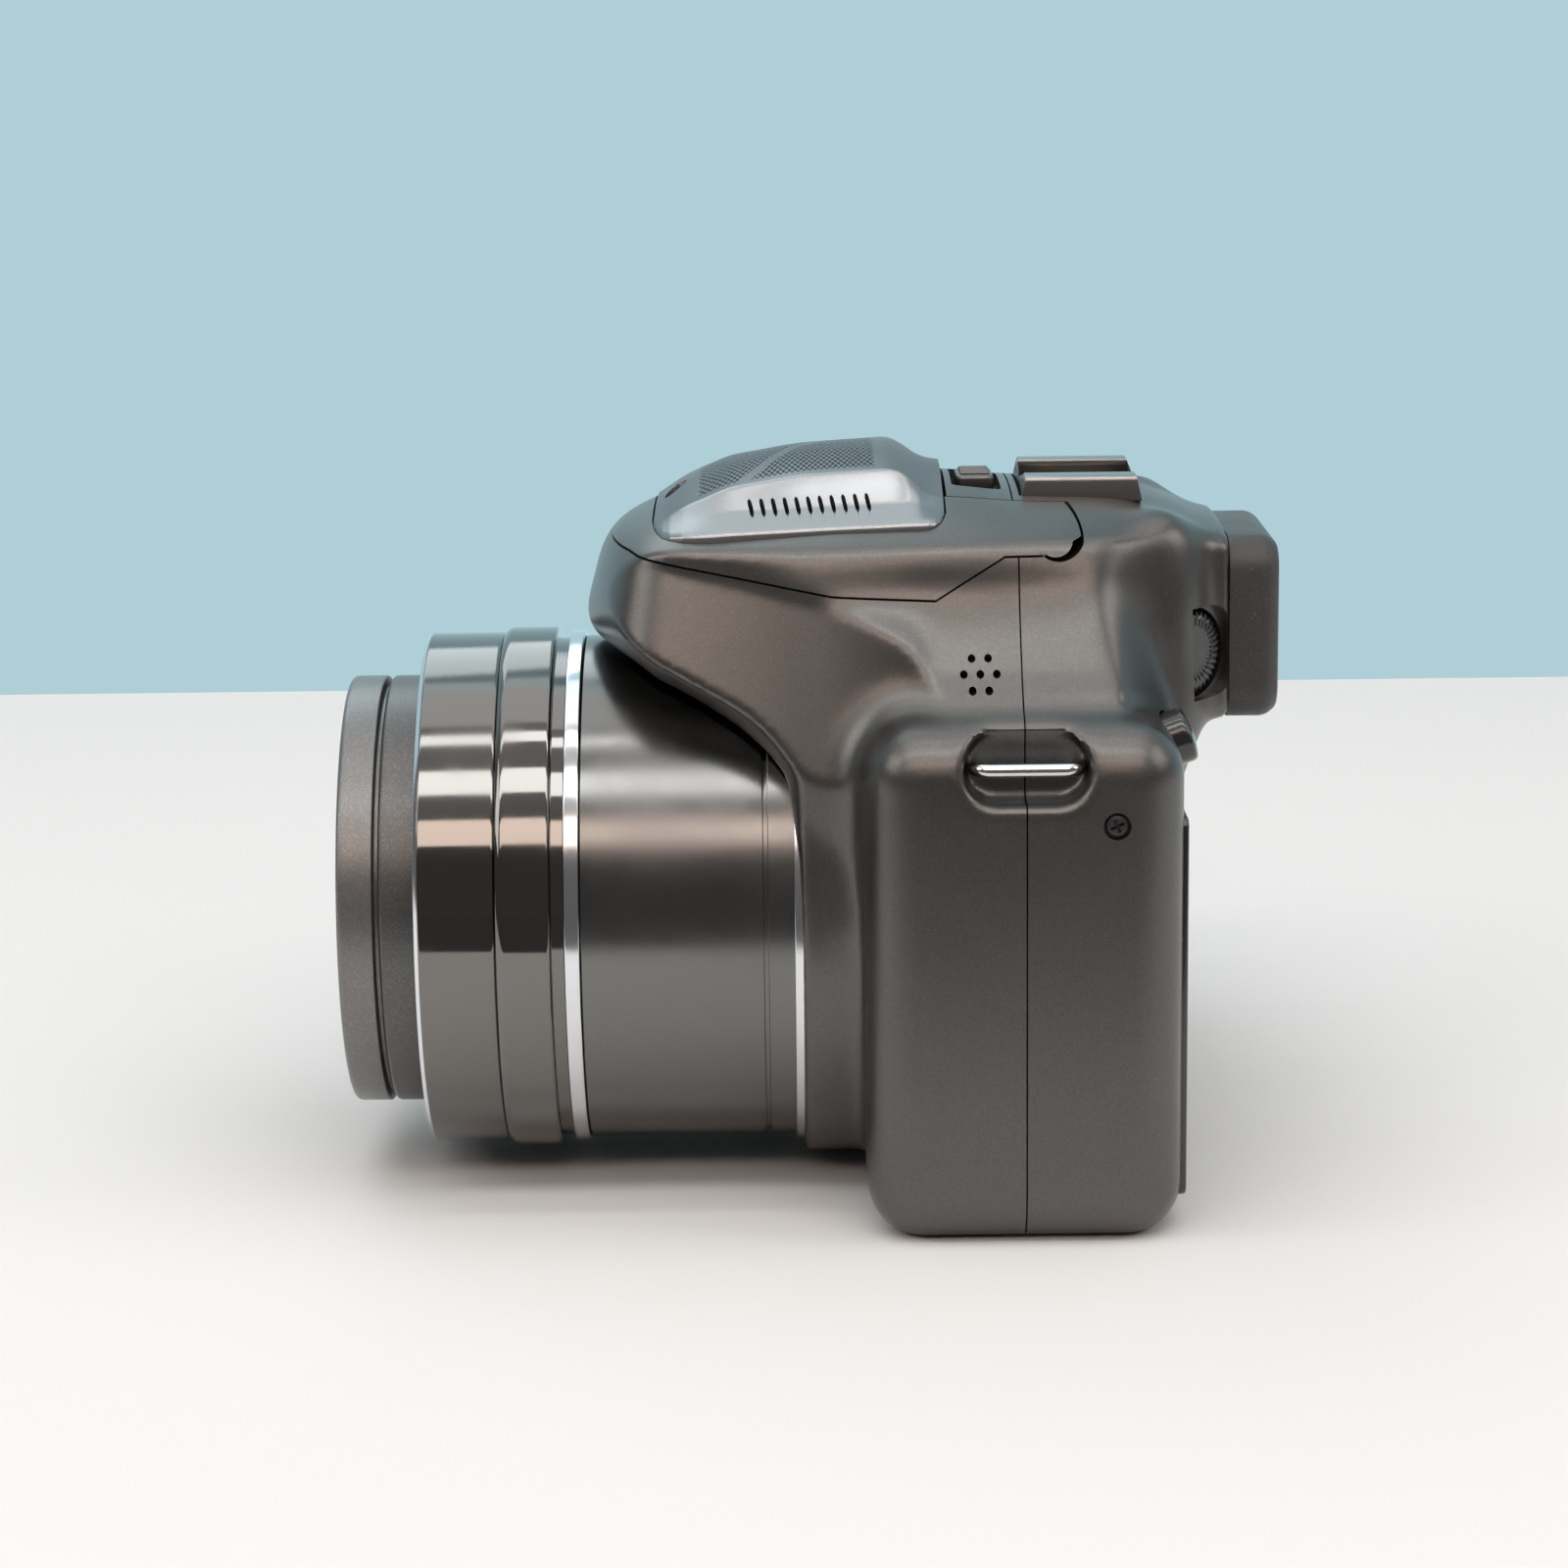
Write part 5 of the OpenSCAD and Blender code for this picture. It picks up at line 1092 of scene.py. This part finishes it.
def lens_ring(corners, cut, steps=5):
    """A ring whose section, of (radius, distance forward) corners, has its corners rounded."""
    return on_lens(lathe(soften(corners, cut, steps), 288, True))


piece("lens_sleeve", lens_ring([
    [15, -2], [17, -2], [17, 14], [34.2, 14], [34.2, 33.4], [33.7, 33.4], [33.7, 34.0], [34.2, 34.0],
    [34.2, 57.7], [33.6, 57.8], [33.6, 78], [32.9, 78], [32.9, 16], [15, 16]],
    [0.2, 0.2, 0.2, 0.4, 0.12, 0.05, 0.05, 0.12, 0.15, 0.1, 0.1, 0.1, 0.1, 0.1]), "lens_barrel",
    sharp=RING_SHARP)
piece("bright_rings", together(
    lens_ring([[34.22, 28.1], [34.9, 28.1], [34.9, 30.0], [34.22, 30.0]], 0.18),
    lens_ring([[33.62, 57.82], [34.9, 57.82], [34.9, 59.8], [33.62, 59.8]], 0.22)), "chrome_rings",
    sharp=RING_SHARP)
piece("rear_focus_ring", lens_ring([
    [33.62, 59.82], [34.0, 59.82], [34.0, 61.5], [35.25, 61.5], [35.5, 61.9], [35.5, 67.9], [35.0, 68.7],
    [33.62, 68.7]], [0.05, 0.1, 0.1, 0.25, 0.25, 0.4, 0.3, 0.05]), "rear_ring", sharp=RING_SHARP)
piece("front_focus_ring", lens_ring([
    [33.62, 68.72], [34.62, 68.72], [34.8, 69.1], [34.8, 78.55], [34.2, 79.2], [32.0, 79.2], [32.0, 78.12],
    [33.62, 78.12]], [0.05, 0.15, 0.2, 0.12, 0.12, 0.15, 0.1, 0.05]), "front_ring", sharp=RING_SHARP)
piece("front_edge_band", lens_ring([[34.3, 78.75], [34.72, 78.66], [34.24, 79.21], [34.0, 79.2]], 0.06, 4),
      "chrome_rings", sharp=RING_SHARP, stands_in=False)
piece("inner_barrel", lens_ring([
    [27.9, 27], [30.15, 27], [30.15, 29.5], [29, 29.5], [29, 83.9], [28.6, 84.3], [27.9, 84.3], [27.9, 78.3],
    [24.6, 75.9], [24.6, 68.3], [25.8, 68.3], [27.9, 70.3]],
    [0.1, 0.2, 0.2, 0.2, 0.3, 0.3, 0.2, 0.3, 0.3, 0.2, 0.2, 0.2]), "zoom_stage_2", "inner_black",
    sharp=RING_SHARP)
piece("outer_zoom_tube", lens_ring([
    [30.5, 21], [31.6, 21], [31.6, 77.1], [31.2, 77.4], [29.35, 77.4], [29.35, 75.8], [30.5, 75.8]],
    [0.1, 0.2, 0.3, 0.3, 0.2, 0.2, 0.2]), "zoom_stage_1", sharp=RING_SHARP)


def cap_shape():
    """Lens cap: a lathe with a rounded rim, a flat ring, a shallow step and a plug that enters the barrel."""
    return on_lens(turned([
        [0.01, 85.6], [25.4, 85.6], [25.4, 81.6], [27.4, 81.6], [27.4, 85.0], [29, 85.0], [29, 89.8],
        [27.0, 89.8], [26.4, 89.5], [0.01, 89.5]], [0, 0.3, 0.3, 0.3, 0.3, 0.25, 1.3, 0.3, 0.3, 0], 7, 256))


piece("lens_cap_disc", cap_shape(), "lens_cap", "cap_black", [on_lens(box((-25, -7, 87.2), (25, 7, 95)))],
      sharp=34)


def latch(way):
    """Cap latch: a plate with a thumb hollow and fine grip ribs across it, thinner towards its outer end."""
    inner, outer, foot, face = 5.05, 22.75, 87.35, 89.5
    ribs_from, ribs_to, rib_pitch = 7, 18, 1.1
    y = soften([[-6.6, 0], [-6.6, 1], [6.6, 1], [6.6, 0]], [0, 0.6, 0.6, 0], 5, closed=False)
    x = np.linspace(inner, outer, 178)
    hollow = np.clip(1 - ((x - 12.5) / 5.6) ** 2, 0, 1) ** 0.8 * 1.15
    wave = 0.5 - 0.5 * np.cos((x - ribs_from) * 2 * np.pi / rib_pitch)
    ribs = 0.24 * wave * ((x > ribs_from) & (x < ribs_to))
    ends = np.minimum(1, np.minimum(x - inner, outer - x) / 0.35) ** 0.5
    top = 87.4 + (face - 87.4 - hollow + ribs - 0.12 * (x > ribs_to)) * (0.75 + 0.25 * ends)
    across = way * np.concatenate([x, x[::-1]])
    up = np.concatenate([np.full(x.shape, foot), top[::-1]])
    rows = [np.column_stack([across, np.full(len(up), at), foot + (up - foot) * (0.85 + 0.15 * h)])
            for at, h in y]
    return on_lens(skin(rows))


piece("cap_latch_left_plate", latch(1), "cap_latch_left")
piece("cap_latch_right_plate", latch(-1), "cap_latch_right")


# Shoe, slider and viewfinder
def shoe_rail_shape():
    """The shoe: a folded sheet section carried along y, its two lips turned in over the channel."""
    half = [[10.5, 0.02], [10.5, 3.4], [6.3, 3.4], [6.3, 2.6], [9.4, 2.6], [9.4, 0.8]]
    outline = np.array(half + [[-x, z] for x, z in half[::-1]], float)
    outline = soften(outline, [0.2, 0.7, 0.25, 0.15, 0.35, 0.35, 0.35, 0.35, 0.15, 0.25, 0.7, 0.2], 5)
    p, q, t = prism(outline, -8.1, 8.1, 0.12)
    lean = 1 - 0.028 * np.clip(p[:, 1], 0, 3.4)
    return outward(np.stack([p[:, 0], SHOE_Y + 8.1 + p[:, 2] * lean, p[:, 1] + SHOE_Z], -1), q, t)


def slider_shape():
    """Flash slider: a wide block with rounded edges and four low ribs, on a stem with a foot plate."""
    y = -5.3
    block = moved(slab(4, 2.5, 0.9, 90.8, 93.6, 0.6), 0, y, 0)
    ribs = [moved(slab(0.35, 2.0, 0.3, 93.3, 93.95, 0.28), -2.65 + 1.8 * k, y, 0) for k in range(4)]
    stem = box((-2.4, y - 1.1, 88.6), (2.4, y + 1.1, 91.2))
    foot = box((-3.4, y - 1.95, 88.1), (3.4, y + 1.95, 88.9))
    return together(block, *ribs, stem, foot)


def eyecup_shape():
    """Eyecup: a section with soft outer edges and a sloped mouth, carried round a rounded rectangle."""
    section = soften([[0, 0.02], [0, 5.2], [1.3, 6.7], [2.7, 6.7], [4.9, 3.4], [4.9, 0.02]],
                     [0.1, 1.4, 1.2, 0.8, 0.5, 0.1], 7)
    half_w, half_h = 15.0, 12.2
    cup = carried(section, half_w, half_h, 4.6, 12)
    return placed(cup, turn_x(-90), (0, EYE_REACH + 0.03, TOWER_LOW + half_h))


def diopter_shape():
    """Dioptre dial: fine teeth round the rim that run over its edge, a dished face and a low hub."""
    profile = [[0.4, -2.1, 0], [4.6, -2.1, 0], [5.4, -2.1, 0.6], [5.75, -1.8, 1], [5.75, 0.6, 1],
               [5.5, 1.1, 1], [5.0, 1.35, 1], [4.1, 1.4, 1], [3.75, 1.3, 0.2], [3.6, 1.25, 0], [2, 1.3, 0],
               [0.4, 1.32, 0]]
    return on_flank(toothed(profile, 36, 0.55, 1080))


piece("shoe_rails", shoe_rail_shape(), "hot_shoe", sharp=40)
piece("flash_slider", slider_shape(), "flash_release", "lid_plastic")
piece("eyecup_ring", eyecup_shape(), "eyecup", "cup_rubber")
piece("diopter_wheel", diopter_shape(), "diopter_dial")


# Buttons and dials
def button_shape(r, proud=0.9, flange=2.35, dish=0.12, rim=0.55):
    """Push button: flange, plain sides, a rounded rim and a slightly dished top."""
    wide = r + 0.8
    return turned([
        [0.01, -flange - 0.9], [wide, -flange - 0.9], [wide, -flange], [r, -flange], [r, proud],
        [0.62 * r, proud - dish * 0.6], [0.3 * r, proud - dish], [0.01, proud - dish]],
        [0, 0.2, 0.2, 0.1, rim, 0.6, 0.5, 0], 8, 72)


def shutter_shape():
    """Shutter button: a shank and a wide, dished cap."""
    return on_slope(turned([
        [0.01, -4.6], [3, -4.6], [3, 2.0], [4.8, 2.5], [4.8, 4.9], [3, 4.62], [1.4, 4.45], [0.01, 4.4]],
        [0, 0.2, 0.4, 0.2, 0.7, 0.8, 0.6, 0], 7, 120))


def zoom_lever_shape():
    """Zoom lever: a collar round the shutter button, and a thumb tab in front."""
    profile = soften([[3.36, -3.5], [5.2, -3.5], [5.2, -2.45], [4.2, -2.45], [4.2, 0.4], [8.8, 0.4],
                      [8.8, 3.4], [5.15, 3.4], [5.15, 0.7], [3.36, 0.7]],
                     [0.1, 0.2, 0.2, 0.1, 0.1, 0.3, 0.7, 0.4, 0.1, 0.1], 6)
    tab = soften([[-2.2, -11.4], [2.2, -11.4], [2.6, -6.2], [-2.6, -6.2]], [1.1, 1.1, 0.1, 0.1], 6)
    return on_slope(together(lathe(profile, 160, True), prism(tab, 0.42, 3.95, 0.5)))


def knurled(r, low, high, teeth):
    """Dial: a toothed rim with plain, rounded edges and a dished top."""
    rim = [[0.4, low, 0], [r - 0.9, low, 0], [r - 0.25, low + 0.1, 0.5], [r, low + 0.5, 1],
           [r, high - 0.9, 1], [r - 0.3, high - 0.3, 0.8], [r - 0.95, high, 0], [r - 1.7, high, 0],
           [r - 2.1, high - 0.25, 0], [0.4, high - 0.3, 0]]
    return toothed(rim, teeth, 0.38, 36 * teeth // 2)


def mode_dial_shape():
    """Mode dial: a knurled knob on a stem with a flange."""
    low, flange = 0.4, -2.35
    stem = turned([[0.01, flange - 0.9], [4.4, flange - 0.9], [4.4, flange], [3, flange], [3, low + 0.2],
                   [0.01, low + 0.2]], 0.15, 4, 64)
    return together(knurled(10, low, 7.9, 44), stem)


def power_shape():
    """Power lever: a low disc with a pointer tab, on a stem with a flange."""
    disc = turned([[0.01, -3.3], [3.6, -3.3], [3.6, -2.35], [2.2, -2.35], [2.2, 0.4], [5.6, 0.4], [5.6, 2.8],
                   [2.4, 2.55], [0.01, 2.5]], [0, 0.2, 0.2, 0.1, 0.1, 0.2, 0.6, 0.5, 0], 6, 96)
    tab = soften([[2.5, -1.9], [8, -1.5], [8, 1.5], [2.5, 1.9]], [0.2, 1.2, 1.2, 0.2], 6)
    return together(disc, prism(tab, 0.42, 3.2, 0.4))


for name, (x, z, r) in BACK_BUTTONS.items():
    piece(name + "_cap", on_back(button_shape(r), x, z), name)
for name, (x, y, r) in PLATE_BUTTONS.items():
    piece(name + "_cap", moved(button_shape(r), x, y, SHOULDER), name)
piece("viewfinder_button_cap", on_rear_slope(button_shape(3.6, 2.2, 4.5, -0.5, 1.7)), "viewfinder_button")
piece("shutter_button_cap", shutter_shape(), "shutter_button")
piece("zoom_lever_collar", zoom_lever_shape(), "zoom_lever")
piece("mode_dial_knob", moved(mode_dial_shape(), *MODE_DIAL), "mode_dial")
piece("thumb_dial", moved(knurled(8, -3, 3, 36), *REAR_DIAL), "rear_dial")
piece("power_switch", moved(power_shape(), *POWER_LEVER), "power_lever")

# Rear display
bezel = soften([[0, -0.65], [0, 0.65], [3.9, 0.65], [3.9, -0.65]], [0.1, 0.5, 0.25, 0.1], 6)
pane = slab(31.3, 23.2, 0.9, -0.63, 0.42, 0.15)
piece("display_bezel", on_back(carried(bezel, 35, 25, 1.4), DISPLAY_X, DISPLAY_Z), "display_frame")
piece("display_pane", on_back(pane, DISPLAY_X, DISPLAY_Z), "display_screen")


# Strap lugs, screws and doors
def lug_path():
    """Wire staple: a straight run with two quarter bends into the pocket's floor, in x and y."""
    bend, half, leg = 2.2, 6.6, 3.78
    a = np.linspace(0, np.pi / 2, 14)
    curve = np.stack([-bend + bend * np.cos(a), half - bend + bend * np.sin(a)], -1)
    run = np.column_stack([np.zeros(20), np.linspace(-(half - bend), half - bend, 20)])
    tail = np.column_stack([np.linspace(-bend - 0.1, -leg, 6), np.full(6, half)])
    line = np.vstack([(tail * [1, -1])[::-1], (curve * [1, -1])[::-1][:-1], run, curve[1:], tail])
    return at_height(line, 0.0)


def screw_shape():
    """Screw: a rounded head on a shank."""
    return turned([[0.01, -3], [0.9, -3], [0.9, 0], [1.5, 0], [1.5, 0.75], [1.0, 0.98], [0.01, 1.02]],
                  [0, 0.2, 0.05, 0.1, 0.3, 0.3, 0], 5, 48)


def battery_door_shape():
    """Battery door: a plate with soft edges, a knuckle along its hinge side, and pin stubs."""
    plate = moved(slab(8.325, 15.8, 0.6, 0.25, 1.95, 0.3), -68.825, -18.2, 0)
    knuckle = placed(cylinder(1.33, 0, 31.6, 32), turn_x(-90), (DOOR_PIN_X, -34, DOOR_PIN_Z))
    stubs = placed(cylinder(0.7, 0, 34, 20), turn_x(-90), (DOOR_PIN_X, -35.2, DOOR_PIN_Z))
    return together(plate, knuckle, stubs)


def lock_shape():
    """Door lock: a slider in the door's slot with a keeper plate behind it."""
    block = moved(slab(2.5, 2.65, 0.5, 0.4, 2.2, 0.25), -65.65, -19, 0)
    plate = moved(slab(3.7, 4, 0.4, 2.15, 2.75, 0.1), -65.45, -19, 0)
    return together(block, plate)


def terminal_shape():
    """Terminal door: a soft plate flush with the side, a knuckle and pin stubs."""
    p, q, t = slab(4.45, 14, 0.9, 0, 1.8, 0.35)
    plate = outward(np.stack([-BODY_RIGHT + 0.05 + p[:, 2], 7.05 + p[:, 0], 33 + p[:, 1]], -1), q, t)
    knuckle = moved(cylinder(1.08, 19, 47, 32), FLAP_PIN_X, FLAP_PIN_Y, 0)
    stubs = moved(cylinder(0.7, 17.8, 48.2, 20), FLAP_PIN_X, FLAP_PIN_Y, 0)
    return together(plate, knuckle, stubs)


staple = tube(lug_path(), 0.9, 24)
left_lug = moved(staple, BODY_LEFT - 1.6, LUG_Y, LUG_Z)
right_lug = moved(mirrored(staple), -BODY_RIGHT + 1.6, LUG_Y, LUG_Z)
piece("strap_wires", together(left_lug, right_lug), "strap_lugs")
SCREW_SUNK = -1.28
arms = [box((-u, -v, 0.35), (u, v, 2)) for u, v in ((0.9, 0.2), (0.2, 0.9))]
piece("case_screws", on_screws(moved(screw_shape(), 0, 0, SCREW_SUNK)), "cover_screws",
      cuts=[on_screws(placed(arm, turn_z(25), (0, 0, SCREW_SUNK))) for arm in arms])
piece("battery_flap", battery_door_shape(), "battery_door", cuts=[box((-70.5, -22, -1), (-62.8, -16, 5))])
piece("door_slider", lock_shape(), "door_lock")
piece("terminal_flap", terminal_shape(), "terminal_door", "cup_rubber")


# Flash window
def window_shape():
    """Flash window: a pane whose front is ribbed from top to bottom."""
    x = np.linspace(-14.4, 14.4, 241)
    rib = -47.4 + 0.12 * (0.5 - 0.5 * np.cos(x * 2 * np.pi / 0.9))
    section = np.vstack([np.column_stack([x, rib]), np.column_stack([x[::-1], np.full(len(x), -46.1)])])
    return skin([at_height(section, z) for z in np.linspace(79.8, 84.8, 6)])


piece("flash_pane", window_shape(), "flash_window")

# Light, floor and background
WALL, WALL_LIT = (0.43, 0.62, 0.68), (0.55, 0.79, 0.87)
TABLE_WHITE, TABLE_SEEN, TABLE_DARK, FLOOR_FAR = (
    (0.84, 0.84, 0.835), (0.66, 0.66, 0.655), (0.14, 0.135, 0.13), (0.84, 0.86, 0.86))
TABLE_END, TABLE_NEAR = -0.343, 0.165
AIM, LAMP_AWAY = Vector((0, -0.03, 0.05)), 1.1
# Name, elevation in degrees, width and depth in metres, watts, colour, turn about the vertical in degrees
LAMPS = (
    ("bright_strip", 59, 1.5, 0.22, 5.2, (1, 1, 0.99), 0),
    ("overhead_strip", 80.5, 1.5, 0.1, 2.4, (1, 1, 1), 0),
    ("warm_strip", 36, 1.5, 0.22, 4.4, (1, 0.8, 0.7), 0),
    ("ceiling", 102, 1.6, 0.55, 2.9, (0.96, 0.98, 1), 0),
    ("front_fill", 30, 0.5, 0.5, 2.5, (1, 0.98, 0.96), -70),
    ("rear_fill", 30, 0.5, 0.5, 2.5, (1, 0.98, 0.96), 80),
    ("far_fill", 45, 0.6, 0.5, 2.0, (0.92, 0.97, 1), 200))


def sheet(name, corners):
    """A flat staging sheet and its material."""
    face = np.array([[0, 1, 2, 3]])
    thing = make_object(name, (np.array(corners, float), face, np.zeros((0, 3), int)), 1.0)
    material, tree, shader = start(name + "_paper", Roughness=0.9, Specular_IOR_Level=0.1)
    thing.data.materials.append(material)
    return tree, shader, tree.nodes.new("ShaderNodeLightPath").outputs


def shown_as(tree, look, share, colour):
    """Where the share is 1 the sheet gives the colour as written, elsewhere the look it had."""
    glow = add(tree, "ShaderNodeEmission", {"Color": (*colour, 1), "Strength": 1.0})
    mix = add(tree, "ShaderNodeMixShader", {0: share, 1: look, 2: glow.outputs[0]})
    tree.links.new(mix.outputs[0], tree.nodes["Material Output"].inputs["Surface"])
    return mix.outputs[0]


def make_room():
    """The world: the wall's blue where it is seen, and for light a dim room under a brighter ceiling."""
    scene.world = bpy.data.worlds.new("studio")
    scene.world.use_nodes = True
    tree = scene.world.node_tree
    back = tree.nodes["Background"]
    path = tree.nodes.new("ShaderNodeLightPath").outputs
    seen = calc(tree, "MAXIMUM", path["Is Camera Ray"], path["Is Transmission Ray"])
    height = axes_of(tree, add(tree, "ShaderNodeTexCoord").outputs["Generated"])[2]
    ceiling = between(tree, ramp(tree, height, 0.35, 1.0), 0.15, 0.65)
    strength = add(tree, "ShaderNodeMix", {0: seen, 2: ceiling, 3: 1.0}).outputs[0]
    tree.links.new(mixed(tree, seen, (1.0, 0.98, 0.96), WALL), back.inputs["Color"])
    tree.links.new(strength, back.inputs["Strength"])


def make_table():
    """A white table that ends behind the object. Reflections see its near part dark, and far off it fades to
    the floor's tone."""
    tree, shader, path = sheet("table", [[TABLE_END, -4, 0], [4, -4, 0], [4, 4, 0], [TABLE_END, 4, 0]])
    tone = mixed(tree, path["Is Camera Ray"], TABLE_WHITE, TABLE_SEEN)
    tree.links.new(tone, shader.inputs["Base Color"])
    place = place_in(tree)
    near = calc(tree, "GREATER_THAN", axes_of(tree, place)[0], TABLE_NEAR)
    look = shown_as(tree, shader.outputs[0], times(tree, near, path["Is Glossy Ray"]), TABLE_DARK)
    away = add(tree, "ShaderNodeVectorMath", {0: place}, operation="LENGTH").outputs["Value"]
    shown_as(tree, look, times(tree, ramp(tree, away, 0.3, 0.75), path["Is Camera Ray"]), FLOOR_FAR)


def make_wall():
    """A pale blue wall behind the table, brighter in reflections."""
    tree, shader, path = sheet("wall", [[-1.1, -4, -1.5], [-1.1, 4, -1.5], [-1.1, 4, 3], [-1.1, -4, 3]])
    shader.inputs["Base Color"].default_value = (*WALL, 1)
    clear = calc(tree, "MAXIMUM", path["Is Camera Ray"], path["Is Transmission Ray"])
    look = shown_as(tree, shader.outputs[0], clear, WALL)
    shown_as(tree, look, path["Is Glossy Ray"], WALL_LIT)


def lamp(name, elevation, wide, deep, power, colour, turn):
    """A soft lamp aimed at the object, at an elevation on the camera's side, turned about the vertical."""
    up, way = math.radians(elevation), math.radians(turn)
    light = bpy.data.lights.new(name, "AREA")
    light.shape = "RECTANGLE"
    light.size, light.size_y = wide, deep
    light.energy = power
    light.color = colour
    at = Vector((math.cos(up) * math.cos(way), math.cos(up) * math.sin(way), math.sin(up)))
    thing = bpy.data.objects.new(name, light)
    thing.location = AIM + LAMP_AWAY * at
    thing.rotation_euler = (-at).to_track_quat("-Z", "Y").to_euler()
    scene.collection.objects.link(thing)


make_room()
make_table()
make_wall()
for row in LAMPS:
    lamp(*row)
scene.view_settings.view_transform = "Standard"
for node, slot in SLOT_OF.items():
    for spot in nodes[node].material_slots:
        spot.material = FINISH[slot]
